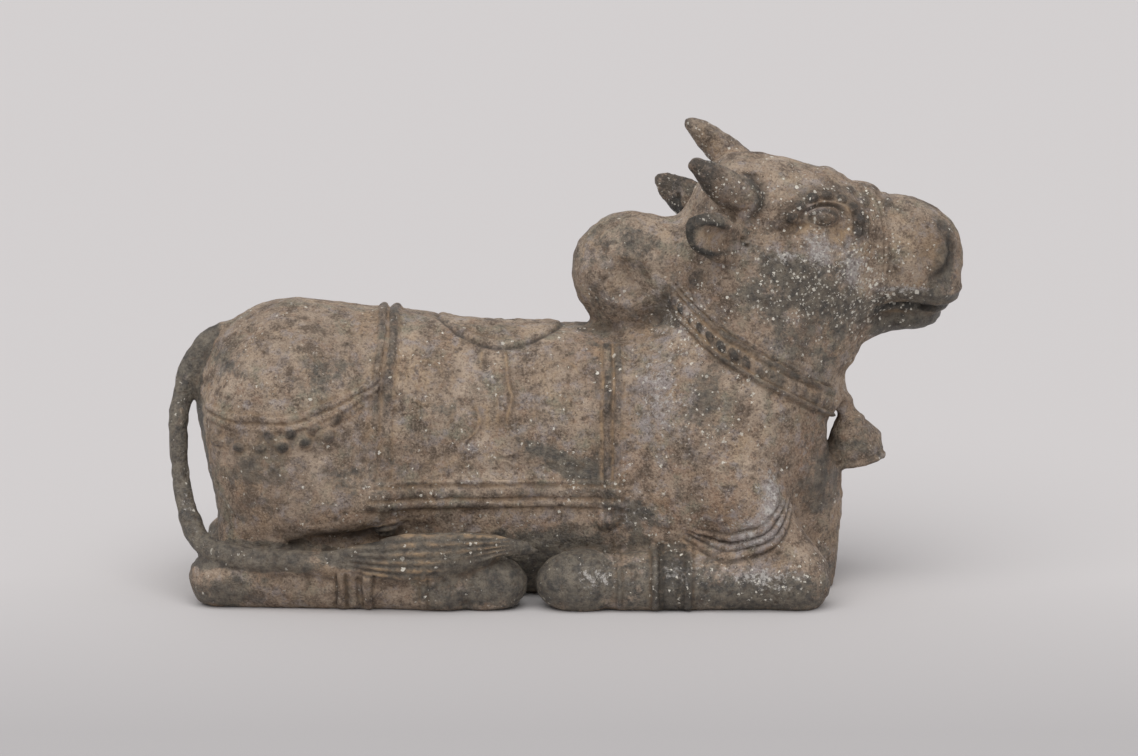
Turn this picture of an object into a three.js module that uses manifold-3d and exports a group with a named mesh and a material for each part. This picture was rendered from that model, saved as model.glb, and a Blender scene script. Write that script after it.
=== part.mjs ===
// A recumbent humped bull, the mount of a temple god, cast in one piece in bronze.
// It faces +X with its spine over the X axis, and it rests on its folded legs on the plane z = 0.
// The figure is modelled as clay is: rounded lumps are pressed together with soft joins, hollows are
// scooped out, and bands are raised on the skin. The result is meshed, thinned and cut flat below.
import * as THREE from "three";
import { edgeTable, triTable } from "three/addons/objects/MarchingCubes.js";
import Module from "manifold-3d";

// Driving sizes, in millimetres
const LENGTH = 221; // from the tail's bend to the muzzle
const BODY_WIDTH = 55; // across the barrel
const LEG_DIAMETER = 16.5; // the folded lower legs
const HUMP_DIAMETER = 33.5;
const HORN_DIAMETER = 11.4; // at the root
const EAR_LENGTH = 23;
const TAIL_DIAMETER = 5.7;
const TUFT_DEPTH = 12.4; // the tail's tuft, up and down, where it is widest
const BELL_DIAMETER = 17;
const BELL_HEIGHT = 15.6;
const STRAP_DIAMETER = 4.6; // the loop that the bell hangs on
const COLLAR_WIDTH = 5.8;
const MEDALLION_DIAMETER = 35;
const RELIEF = 0.75; // how far bands stand out of the skin
const FOOT_FLAT = 0.9; // the legs are modelled from z = 0 and cut off flat here

// Meshing, in millimetres and counts
const CELL = 1;
const TRIANGLES = 9600;

// The pose and proportions are drawn in hundredths of the length.
const UNIT = LENGTH / 100;
const share = (millimetres) => millimetres / UNIT;

const SIDES = [-1, 1]; // the bull's right side is -Y, its left side +Y
const legRadius = share(LEG_DIAMETER) / 2;
const halfWidth = share(BODY_WIDTH) / 2;
const legOut = halfWidth + 0.36 * legRadius; // a leg's middle line, from the spine
const relief = share(RELIEF);

// Soft joins and hollows of distance fields
function joined(a, b, soft) {
  const h = Math.max(soft - Math.abs(a - b), 0) / soft;
  return Math.min(a, b) - h * h * soft * 0.25;
}

function carved(a, tool, soft) {
  return -joined(-a, tool, soft);
}

function smoothstep(from, to, value) {
  const t = Math.min(Math.max((value - from) / (to - from), 0), 1);
  return t * t * (3 - 2 * t);
}

// 1 inside low..high, falling to 0 over a distance edge outside it
function between(low, high, edge, value) {
  return smoothstep(low - edge, low, value) - smoothstep(high, high + edge, value);
}

// Clay: each lump has a place where it matters, a soft join and a distance
const clay = [];

function press(centre, reach, soft, distance, scoop = false) {
  clay.push({ x: centre[0], y: centre[1], z: centre[2], reach: reach + soft, soft, distance, scoop });
}

// The frame that lumps are given in: the body's own, or the turned head's
const BODY = new THREE.Matrix4();
let frame = BODY;

function local(matrix) {
  const inverse = new THREE.Matrix4().multiplyMatrices(frame, matrix).invert().elements;
  const [a, b, c, , d, e, f, , g, h, i, , x, y, z] = inverse;
  return (px, py, pz, use) =>
    use(a * px + d * py + g * pz + x, b * px + e * py + h * pz + y, c * px + f * py + i * pz + z);
}

function placed(point) {
  return new THREE.Vector3(...point).applyMatrix4(frame).toArray();
}

// An ellipsoid. axes gives its first two directions, where they aren't X and Y.
function ball(centre, radii, soft, { axes, scoop } = {}) {
  const matrix = new THREE.Matrix4();
  if (axes) {
    const along = new THREE.Vector3(...axes[0]).normalize();
    const up = new THREE.Vector3(...axes[1]);
    up.addScaledVector(along, -along.dot(up)).normalize();
    matrix.makeBasis(along, up, new THREE.Vector3().crossVectors(along, up));
  }
  matrix.setPosition(...centre);
  const into = local(matrix);
  const [rx, ry, rz] = radii;
  const distance = (px, py, pz) =>
    into(px, py, pz, (x, y, z) => {
      const scaled = Math.hypot(x / rx, y / ry, z / rz);
      const slope = Math.hypot(x / (rx * rx), y / (ry * ry), z / (rz * rz));
      return slope < 1e-9 ? -Math.min(rx, ry, rz) : (scaled * (scaled - 1)) / slope;
    });
  press(placed(centre), Math.max(rx, ry, rz), soft, distance, scoop);
}

// A tapered round bar from a to b. flat squeezes it sideways.
function bar(a, b, ra, rb, soft, { flat = 1, scoop } = {}) {
  const middle = a.map((value, i) => (value + b[i]) / 2);
  const matrix = new THREE.Matrix4().makeScale(1, flat, 1).setPosition(...middle);
  const into = local(matrix);
  const half = [(b[0] - a[0]) / 2, (b[1] - a[1]) / 2 / flat, (b[2] - a[2]) / 2];
  const length = 2 * Math.hypot(...half);
  const [ux, uy, uz] = half.map((value) => (2 * value) / length);
  const lean = (ra - rb) / length;
  const rise = Math.sqrt(Math.max(1 - lean * lean, 1e-6));
  const distance = (px, py, pz) =>
    into(px, py, pz, (x, y, z) => {
      const [qx, qy, qz] = [x + half[0], y + half[1], z + half[2]];
      const along = qx * ux + qy * uy + qz * uz;
      const away = Math.sqrt(Math.max(qx * qx + qy * qy + qz * qz - along * along, 0));
      const foot = (along - (away * lean) / rise) / length;
      let d;
      if (foot < 0) d = Math.hypot(along, away) - ra;
      else if (foot > 1) d = Math.hypot(along - length, away) - rb;
      else d = away * rise + along * lean - ra;
      return d * Math.min(flat, 1);
    });
  press(placed(middle), length / 2 + Math.max(ra, rb), soft, distance, scoop);
}

// A run of bars along a smooth curve through points [x, y, z, radius]
function rope(points, steps, soft, options) {
  const curve = new THREE.CatmullRomCurve3(points.map((p) => new THREE.Vector3(p[0], p[1], p[2])));
  const radii = new THREE.CatmullRomCurve3(points.map((p) => new THREE.Vector3(p[3], 0, 0)));
  for (let i = 0; i < steps; i++) {
    const [a, b] = [i / steps, (i + 1) / steps];
    const [from, to] = [curve.getPoint(a).toArray(), curve.getPoint(b).toArray()];
    bar(from, to, radii.getPoint(a).x, radii.getPoint(b).x, soft, options);
  }
}

// Where the clay so far ends along a ray from a point inside it, in the current frame
function skinAt(from, direction) {
  let [inside, outside] = [0, 24];
  const at = (t) => from.map((value, i) => value + direction[i] * t);
  for (let i = 0; i < 24; i++) {
    const t = (inside + outside) / 2;
    if (figure(...placed(at(t)), clay, false) < 0) inside = t;
    else outside = t;
  }
  return at(inside);
}

// A smooth reading of rows [x, value, value, ...] between their stations
function reader(rows) {
  return (x, column) => {
    let i = 0;
    while (i < rows.length - 2 && x > rows[i + 1][0]) i++;
    const [from, to] = [rows[i], rows[i + 1]];
    const before = rows[Math.max(i - 1, 0)];
    const after = rows[Math.min(i + 2, rows.length - 1)];
    const width = to[0] - from[0];
    const t = Math.min(Math.max((x - from[0]) / width, 0), 1);
    const slopeFrom = ((to[column] - before[column]) / (to[0] - before[0])) * width;
    const slopeTo = ((after[column] - from[column]) / (after[0] - from[0])) * width;
    const t2 = t * t;
    const t3 = t2 * t;
    return (
      from[column] * (2 * t3 - 3 * t2 + 1) +
      slopeFrom * (t3 - 2 * t2 + t) +
      to[column] * (3 * t2 - 2 * t3) +
      slopeTo * (t3 - t2)
    );
  };
}

// A trunk along X: rows are [x, top, bottom, half width], and each end closes over its own length.
// rake slopes the rear end forward, towards its foot: one value above the waist, one below it.
function trunk(rows, { rear, front, rake = [0, 0], square, blunt, soft }) {
  const read = reader(rows);
  const low = rows[0][0];
  const high = rows[rows.length - 1][0];
  const middle = [(low + high) / 2, 0, (read(0.5 * (low + high), 1) + read(0.5 * (low + high), 2)) / 2];
  const into = local(BODY);
  const distance = (px, py, pz) =>
    into(px, py, pz, (x, y, z) => {
      const at = Math.min(Math.max(x, low), high);
      const top = read(at, 1);
      const bottom = read(at, 2);
      const a = read(at, 3);
      const b = (top - bottom) / 2;
      const drop = rows[0][1] - 10 - z;
      const slope = drop * rake[drop < 0 ? 0 : 1];
      const shut = Math.max((low + slope + rear - x) / rear, (x - high + front) / front, 0);
      const across = Math.abs(y) / a;
      const up = Math.abs(z - bottom - b) / b;
      const ring = (across ** square + up ** square) ** (1 / square);
      const norm = (ring ** blunt + shut ** blunt) ** (1 / blunt);
      return (norm - 1) * Math.min(a, b);
    });
  press(placed(middle), (high - low) / 2 + 12, soft, distance);
}

function barrel() {
  const rows = [
    [-47.2, 36.7, 1.0, halfWidth - 0.6],
    [-32.3, 37.1, -0.8, halfWidth + 0.1],
    [-24.0, 36.0, -0.8, halfWidth - 0.1],
    [-9.5, 34.4, -0.8, halfWidth - 0.5],
    [3.0, 33.9, -0.8, halfWidth - 0.4],
    [15.0, 33.0, -0.8, halfWidth + 0.2],
    [25.0, 30.5, -0.8, halfWidth - 1.4],
    [34.2, 27.0, -0.8, halfWidth - 4.6],
  ];
  trunk(rows, { rear: 15, front: 12, rake: [0.06, 0.185], square: 2.5, blunt: 2.4, soft: 1 });
}

function haunch(side) {
  ball([-33.6, side * (halfWidth - 4.2), 20], [9.9, 6.2, 13.2], 4);
  // the thigh, drawn forward to the stifle
  ball([-30, side * (halfWidth - 3.4), 13.6], [9.6, 5.4, 5.2], 4, { axes: [[1, 0, -0.1], [0, 1, 0]] });
  // the back of the thigh, down to the hock
  bar([-36.6, side * 5.5, 24], [-35.0, side * (halfWidth - 5.6), 8], 7.0, 6.6, 2.5);
  bar([-39, side * 4.6, 13], [-39.2, side * 7.4, 7], 3.1, 4, 3);
}

// How far out the hind leg's middle line is: the hocks are drawn in under the rump
function legAt(x) {
  return legOut - 2.4 * (1 - smoothstep(-43, -22, x));
}

function hindLeg(side) {
  const out = side * legOut;
  const hock = [-42.8, side * legAt(-42.8), legRadius * 0.98];
  bar(hock, [-14, out, legRadius * 0.93], legRadius * 1.02, legRadius * 0.9, 1.2);
  // the fetlock and the hoof
  const middle = legRadius * 0.95;
  bar([-16.5, out, middle], [-14.2, out, middle], middle, middle, 0.5);
  ball([-9.6, out, middle], [5.2, legRadius * 0.92, legRadius * 0.98], 0.7);
  // the hollow between the thigh and the leg
  const parting = legRadius * 2 + 1.2;
  const back = [-34, out - side * 1.2, parting];
  const front = [-17, out - side * 1.4, parting + 0.7];
  bar(back, front, 0.4, 1.3, 2.0, { scoop: true });
}

function foreLeg(side) {
  const out = side * legOut;
  const knee = [29.2, out * 0.94, legRadius * 1.01];
  bar(knee, [7.5, out, legRadius * 0.96], legRadius * 1.04, legRadius * 0.96, 1.4);
  // the hoof, turned under
  ball([2.2, out, legRadius * 1.0], [5.6, legRadius * 1.06, legRadius * 1.1], 0.7);
  // the forearm, from the elbow down to the knee
  bar([22.4, side * (halfWidth - 1.4), 14.2], knee, legRadius * 1.2, legRadius * 1.02, 2);
  // the shoulder, from under the collar to the elbow
  ball([17.5, side * (halfWidth - 4.4), 19.5], [9, 6, 12.5], 5, { axes: [[0.97, 0, -0.2], [0, 1, 0]] });
  // the crease behind the elbow
  bar([13.5, out + side * 1.6, 8.2], [19.6, out + side * 2.2, 8.1], 0.3, 0.9, 0.9, { scoop: true });
}

function breast() {
  bar([30.6, 0, 12], [30.6, 0, 2], 4.3, 4.2, 3, { flat: 1.35 });
  bar([27.6, 0, 24], [28.2, 0, 16], 4.9, 4.9, 3, { flat: 1.4 });
}

// The hollow at the foot of the throat, behind the bell
function throatHollow() {
  ball([35.2, 0, 20.7], [2.5, 8, 3.6], 0.9, { scoop: true });
}

function neck() {
  bar([19.2, 0, 21], [26.2, 0, 40.8], 13.6, 11.4, 4.5, { flat: 0.82 });
  bar([18, 0, 40], [21.8, 0, 49], 5.5, 5, 4, { flat: 1.15 });
  ball([32.0, 0, 32.7], [5.6, 5.2, 5.0], 3); // the throat
}

function hump() {
  const r = share(HUMP_DIAMETER) / 2;
  const centre = [8.6, 0, 40.8];
  ball(centre, [r * 0.99, r * 0.88, r * 1.03], 1.8);
  ball([centre[0] + 5.5, 0, centre[2] + 0.8], [5.5, r * 0.78, 5.2], 3);
  for (const side of SIDES) {
    ball([centre[0] - 0.4, side * (r * 0.88 + 2.4), centre[2] - 0.2], [3.7, 3.4, 3.5], 1.6, { scoop: true });
  }
}

function tail() {
  const r = share(TAIL_DIAMETER) / 2;
  const hug = (x, more) => -(legAt(x) + legRadius * 0.74) + more; // over the right hind leg
  const top = legRadius * 2;
  rope(
    [
      [-42.2, 0, 33.0, r * 1.1],
      [-45.2, -0.6, 31.2, r * 1.1],
      [-47.4, -2.2, 27.4, r],
      [-48.4, -4.2, 22.6, r],
      [-48.2, -6.0, 17.0, r],
      [-47.2, -8.4, 12.2, r],
      [-44.8, hug(-44.8, 2.2), top + 0.6, r],
      [-40.4, hug(-40.4, 0.2), top - 0.7, r],
      [-34.4, hug(-34.4, -0.4), top - 0.8, r],
      [-28.4, hug(-28.4, -0.4), top - 0.9, r],
    ],
    34,
    0.4,
  );
  const deep = share(TUFT_DEPTH) / 2;
  rope(
    [
      [-29.4, hug(-29.4, -0.4), top - 0.9, r],
      [-24.0, hug(-24, -0.2), top - 0.6, deep * 0.7],
      [-20.1, hug(-20, -0.4), top - 0.3, deep * 0.96],
      [-16.2, hug(-16, -0.4), top + 0.2, deep],
      [-12.3, hug(-12, -0.1), top + 0.8, deep * 0.8],
      [-7.7, hug(-8, 0.6), top + 1.2, deep * 0.44],
      [-3.3, hug(-3, 1.9), top + 0.4, deep * 0.2],
    ],
    20,
    0.5,
    { flat: 0.6 },
  );
}

// The bell hangs on a strap from the collar, leans forward and touches the breast with its rim.
function bell() {
  const strap = share(STRAP_DIAMETER) / 2;
  const rim = share(BELL_DIAMETER) / 2;
  const height = share(BELL_HEIGHT);
  const crown = new THREE.Vector3(36.0, 0, 22.9);
  const lean = new THREE.Vector3(0.2, 0, -1).normalize();
  bar([34.6, 0, 26.6], crown.toArray(), strap * 1.1, strap, 0.9, { flat: 1.25 });
  const middle = crown.clone().addScaledVector(lean, height / 2);
  const distance = (x, y, z) => {
    const [dx, dz] = [x - crown.x, z - crown.z];
    const down = dx * lean.x + dz * lean.z;
    const across = dx * -lean.z + dz * lean.x;
    const away = Math.hypot(across, y);
    const t = Math.min(Math.max(down / height, 0), 1);
    const flank = rim * (0.26 + 0.74 * Math.sin((t * Math.PI) / 2) ** 0.85);
    return Math.max((away - flank) * 0.82, -down, down - height);
  };
  press(middle.toArray(), height / 2 + rim, 0.4, distance);
}

// The head is modelled looking straight ahead, then turned to the left and rolled.
const EYE = { at: [31.1, 49.5], brow: [4.5, 3.5], ahead: 0.4, drop: 1.1 };
const HEAD_PIVOT = [22, 0, 42];
const HEAD_TURN = 7; // degrees, away from the tail's side
const HEAD_ROLL = 7; // degrees, the left side up

function headFrame() {
  const turn = new THREE.Matrix4().makeRotationZ(THREE.MathUtils.degToRad(HEAD_TURN));
  const roll = new THREE.Matrix4().makeRotationX(THREE.MathUtils.degToRad(HEAD_ROLL));
  const there = new THREE.Matrix4().makeTranslation(...HEAD_PIVOT);
  const back = there.clone().invert();
  return there.multiply(turn).multiply(roll).multiply(back);
}

const turned = headFrame();

function skull() {
  const rows = [
    [16.6, 53.4, 43.5, 6.6],
    [20.5, 55.4, 40, 7.6],
    [26.0, 55.5, 35.5, 8.3],
    [31.0, 54.4, 33.0, 8.3],
    [35.5, 52.8, 32.6, 7.3],
    [40.0, 50.5, 34.4, 6.1],
    [44.0, 49.2, 36.2, 5.7],
    [49.0, 46.6, 37.6, 5.2],
  ];
  trunk(rows, { rear: 4.5, front: 5.5, square: 2.25, blunt: 2.2, soft: 2.4 });
}

// Rows are [x, z, half length, half height].
const KNOTS = [[33.4, 52.6, 2.3, 0.9], [38.3, 50.1, 2.0, 1.2], [42.8, 48.9, 2.0, 0.8]];

function muzzle() {
  ball([44.1, 0, 42.5], [6.5, 6.3, 6.6], 2.0);
  ball([45.7, 0, 38.6], [4.9, 5.6, 3.6], 2);
  // the lower lip and the chin
  ball([43.8, 0, 35.0], [4.6, 4.5, 2.2], 0.3);
  ball([38.6, 0, 34.2], [3.8, 4.3, 2.2], 1.5);
  // the knots of the headstall, down the bridge of the nose
  for (const [x, z, long, high] of KNOTS) ball([x, 0, z], [long, long, high], 0.5);
  for (const side of SIDES) {
    ball([46.2, side * 6.0, 44.2], [2.2, 0.9, 3.0], 1.4, { scoop: true });
    // the nostril's crescent
    rope(
      [
        [45.4, side * 6.1, 47.4, 0.3],
        [47.6, side * 5.2, 46.8, 0.45],
        [48.9, side * 4.2, 44.6, 0.6],
        [48.5, side * 4.5, 42.2, 0.5],
        [46.8, side * 5.4, 40.8, 0.35],
      ],
      8,
      0.4,
      { scoop: true },
    );
    // the parted lips
    rope(
      [
        [39.8, side * 5.9, 36.9, 0.3],
        [43.4, side * 5.3, 36.7, 0.45],
        [46.8, side * 3.4, 36.6, 0.45],
        [48.4, 0, 36.7, 0.45],
      ],
      6,
      0.3,
      { scoop: true },
    );
  }
}

function eyes() {
  for (const side of SIDES) {
    const [x, z] = EYE.at;
    ball([x - 4.4, side * 8.5, z - 0.7], [2.4, 0.9, 1.6], 1.2, { scoop: true });
    ball([x + 4.1, side * 8.1, z - 1.0], [2.2, 0.9, 1.4], 1.2, { scoop: true });
    const lid = skinAt([x, 0, z], [0, side, 0]);
    ball([x, lid[1] - side * 0.2, z], [2.2, 0.9, 1.15], 0.3, { axes: [[1, 0, -0.1], [0, 1, 0]] });
    ball([x, lid[1] + side * 0.1, z], [1, 1, 0.85], 0.2);
    // the brow, an arch over the eye
    const arch = [];
    for (let i = 0; i <= 8; i++) {
      const angle = THREE.MathUtils.degToRad(172 - (156 * i) / 8);
      const across = EYE.brow[0] * Math.cos(angle) + EYE.ahead;
      const from = [x + across, 0, z - EYE.drop + EYE.brow[1] * Math.sin(angle)];
      const [bx, by, bz] = skinAt(from, [0, side, 0]);
      arch.push([bx, by - side * 0.15, bz, 0.62]);
    }
    rope(arch, 12, 0.3);
  }
}

// The horns aren't alike: the left one is slimmer and stands higher.
// Rows are [x, y, z, share of the root's radius].
const HORNS = [
  [[23.1, -5.3, 50.3, 1], [20.9, -6.4, 52, 0.96], [18.2, -7.2, 54.1, 0.79], [15.2, -7.5, 56.4, 0.38]],
  [[23.3, 5.3, 52.4, 0.92], [21, 6.4, 54.6, 0.8], [18.7, 7.2, 56.6, 0.62], [16.8, 7.5, 58, 0.34]],
];

function horns() {
  const radius = share(HORN_DIAMETER) / 2;
  for (const rows of HORNS) rope(rows.map(([x, y, z, r]) => [x, y, z, r * radius]), 7, 0.35);
}

// Each ear is a cupped leaf, modelled along its own X with the cup facing its own +Y.
// Rows are [along, up, radius] in shares of the ear's length.
const EAR_LEAF = [
  [0.14, -0.03, 0.16],
  [0.34, 0.01, 0.215],
  [0.55, 0.03, 0.225],
  [0.77, 0.04, 0.15],
  [0.99, 0.06, 0.035],
];
const EAR_CUP = [[0.16, -0.03, 0.12], [0.45, 0, 0.155], [0.72, 0.03, 0.085]];

function ears() {
  const long = share(EAR_LENGTH);
  for (const side of SIDES) {
    const root = new THREE.Vector3(21.3, side * 7.8, 45.6 - side * 0.05);
    const along = new THREE.Vector3(-9.5, side * 5.8, 4.6 - side * 0.4).normalize();
    const open = new THREE.Vector3(0, 0, 1).cross(along).multiplyScalar(-side).normalize();
    const leaf = new THREE.Matrix4().makeBasis(along, open, along.clone().cross(open)).setPosition(root);
    frame = turned.clone().multiply(leaf);
    const up = Math.sign(along.clone().cross(open).z);
    const wide = side > 0 ? 0.9 : 1; // the left ear is narrower
    const sized = (rows, out) =>
      rows.map(([x, z, r]) => [x * long, out * long, z * long * up, r * long * wide]);
    rope(sized(EAR_LEAF, 0), 8, 0.6, { flat: 0.42 });
    rope(sized(EAR_CUP, 0.105), 5, 0.4, { flat: 0.62, scoop: true });
    frame = turned;
  }
}

// Bands raised on the skin: each function gives its height over the smooth body, in shares of RELIEF
const COLLAR = {
  half: share(COLLAR_WIDTH) / 2,
  at: [20.6, 32.4],
  slope: 0.58,
  curl: 0.045,
  rear: 14,
  inside: 24,
  beads: 40,
};
const CLOTH = { rear: -23.6, front: 7.2, hem: 13.2, line: 0.55, pitch: 1.35 };
const MEDALLION = { x: -8, z: 34.9, r: share(MEDALLION_DIAMETER) / 2, rim: 0.9 };
const SWAG = { low: -38, z: 24.2, line: 0.45, pitch: 1.25 };
const NOSEBAND = { x: 40.0, z: 42, lean: 0.12, half: 0.75 };
const ARMLET = { x: 20.9, z: 14.2, r: 6.4, pitch: 1.5 };
// Rows of bosses under the crupper: [the rearmost x, how far under the line, count]
const BOSSES = [[-43, 3.6, 6], [-36.4, 2, 4]];
const BOSS_PITCH = 2.8;
const ANKLETS = [-27.2, -24.2, 11.4, 15.2];
const TASSELS = [[-22.2, 10.4], [5.4, 11.4]];

// A ridge of a given half width along the line where value is 0
function ridge(value, half) {
  const t = Math.abs(value) / half;
  return t < 1 ? (1 - t * t) ** 0.7 : 0;
}

// The saddle cloth: two lines along each upright edge and three along the hem
function clothHeight(x, away, z) {
  const lean = 0.06 * (z - 20); // the rear edge leans with the rump
  const rear = CLOTH.rear + lean;
  const clear = x > -1 ? smoothstep(6, 7.5, away) : 1; // clear of the hump
  const along = between(rear - 0.4, CLOTH.front + 0.4, 0.3, x);
  const within = along * smoothstep(CLOTH.hem - 0.7, CLOTH.hem - 0.3, z);
  const inset = CLOTH.pitch * 1.25;
  let lines = 0;
  for (const value of [x - rear, x - rear - inset, CLOTH.front - x, CLOTH.front - inset - x]) {
    lines = Math.max(lines, ridge(value, CLOTH.line));
  }
  for (let i = 0; i < 3; i++) {
    lines = Math.max(lines, ridge(z - CLOTH.hem - CLOTH.pitch * i, CLOTH.line));
  }
  return clear * within * (0.35 + lines);
}

// The round medallion on the back, with its rim
function medallionHeight(x, y, z) {
  const from = Math.hypot(x - MEDALLION.x, y, z - MEDALLION.z);
  const disc = 1 - smoothstep(MEDALLION.r - 0.2, MEDALLION.r, from);
  return 0.3 * disc + 0.5 * ridge(from - MEDALLION.r + MEDALLION.rim, 0.7);
}

function swagLine(x) {
  const run = x - SWAG.low;
  return SWAG.z + (run < 0 ? 0.02 : 0.0215) * run * run;
}

// The crupper round the rump: two sagging lines
function swagHeight(x, away, z) {
  if (x > CLOTH.rear + 0.3 || x < -44.6 || away < 1.5) return 0;
  const drop = z - swagLine(x);
  return Math.max(ridge(drop, SWAG.line), ridge(drop + SWAG.pitch, SWAG.line));
}

// The collar's middle: straight down the neck in front, and curling up behind
function collarLine(x) {
  const ahead = x - COLLAR.at[0];
  return COLLAR.at[1] - COLLAR.slope * ahead + COLLAR.curl * Math.min(ahead, 0) ** 2;
}

// The collar's ridged edges
function collarHeight(x, z) {
  if (x < COLLAR.rear - 1) return 0;
  const across = (z - collarLine(x)) / Math.hypot(1, COLLAR.slope);
  if (Math.abs(across) > COLLAR.half + 0.3) return 0;
  return Math.max(1.1 * ridge(Math.abs(across) - COLLAR.half + 0.3, 0.5), 0.3);
}

function nosebandHeight(x, z) {
  const run = x - NOSEBAND.x - (z - NOSEBAND.z) * NOSEBAND.lean;
  return z > 30 ? 0.45 * ridge(run, NOSEBAND.half) : 0;
}

function ankletHeight(x, y, z) {
  if (Math.abs(y) < legOut - legRadius) return 0;
  const top = legRadius * (x < 0 && y < 0 ? 1.3 : 2); // the tuft covers the right hind leg's
  let height = 0;
  for (const at of ANKLETS) height = Math.max(height, ridge(x - at, 0.75));
  return 0.8 * height * (1 - smoothstep(top, top + 0.9, z));
}

// The armlet at the elbow: two curved bands round the forearm
function armletHeight(x, away, z) {
  if (away < halfWidth - 3) return 0;
  const from = Math.hypot(x - ARMLET.x, z - ARMLET.z);
  const angle = Math.atan2(z - ARMLET.z, x - ARMLET.x);
  const bands = Math.max(ridge(from - ARMLET.r, 0.7), ridge(from - ARMLET.r + ARMLET.pitch, 0.6));
  return 0.9 * bands * smoothstep(-2.1, -1.9, angle) * (1 - smoothstep(-0.25, 0, angle));
}

function raised(x, y, z) {
  const away = Math.abs(y);
  const onBody = z > CLOTH.hem - 1 && x < 32 ? 1 : 0;
  let height = ankletHeight(x, y, z) + armletHeight(x, away, z);
  if (onBody) {
    height += Math.max(clothHeight(x, away, z), medallionHeight(x, y, z)) + swagHeight(x, away, z);
  }
  return relief * (height + collarHeight(x, z) + nosebandHeight(x, z));
}

function figure(x, y, z, lumps, dressed = true) {
  let d = 1e3;
  for (const lump of lumps) {
    const away = Math.hypot(x - lump.x, y - lump.y, z - lump.z) - lump.reach;
    if (lump.scoop) {
      if (away < 0) d = carved(d, lump.distance(x, y, z), lump.soft);
    } else if (away < d) d = joined(d, lump.distance(x, y, z), lump.soft);
  }
  return dressed && Math.abs(d) < 1.5 ? d - raised(x, y, z) : d;
}

// The bosses that hang from the crupper
function bosses(side) {
  for (const [first, drop, count] of BOSSES) {
    for (let i = 0; i < count; i++) {
      const x = first + BOSS_PITCH * i;
      const z = swagLine(x) - drop;
      const [, y] = skinAt([x, 0, z], [0, side, 0]);
      ball([x, y, z], [0.85, 0.6, 0.78], 0.25);
    }
  }
}

// The collar's beads, spaced along its middle
function beads() {
  for (let i = 0; i < COLLAR.beads; i++) {
    const turn = (2 * Math.PI * (i + 0.5)) / COLLAR.beads;
    let spot = [COLLAR.inside, 0, 0];
    for (let again = 0; again < 4; again++) {
      const z = collarLine(Math.max(spot[0], COLLAR.rear));
      spot = skinAt([COLLAR.inside, 0, z], [Math.cos(turn), Math.sin(turn), 0]);
    }
    if (spot[0] > COLLAR.rear) ball(spot, [0.72, 0.72, 0.72], 0.12);
  }
}

// The tassels under the saddle cloth's corners
function tassels(side) {
  for (const [x, z] of TASSELS) {
    const [, y] = skinAt([x, 0, z], [0, side, 0]);
    ball([x, y, z], [1.65, 0.9, 1.5], 0.3);
  }
}

function modelled() {
  barrel();
  for (const side of SIDES) haunch(side);
  breast();
  neck();
  throatHollow();
  for (const side of SIDES) {
    foreLeg(side);
    hindLeg(side);
    tassels(side);
  }
  hump();
  SIDES.forEach(bosses);
  beads();
  tail();
  frame = turned;
  skull();
  muzzle();
  eyes();
  horns();
  ears();
  frame = BODY;
  bell();
}

// Marching cubes over a box of cells, in shares of the length
const CORNERS = [
  [0, 0, 0], [1, 0, 0], [1, 1, 0], [0, 1, 0],
  [0, 0, 1], [1, 0, 1], [1, 1, 1], [0, 1, 1],
];
const EDGES = [
  [0, 1], [1, 2], [2, 3], [3, 0], [4, 5], [5, 6],
  [6, 7], [7, 4], [0, 4], [1, 5], [2, 6], [3, 7],
];

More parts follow.
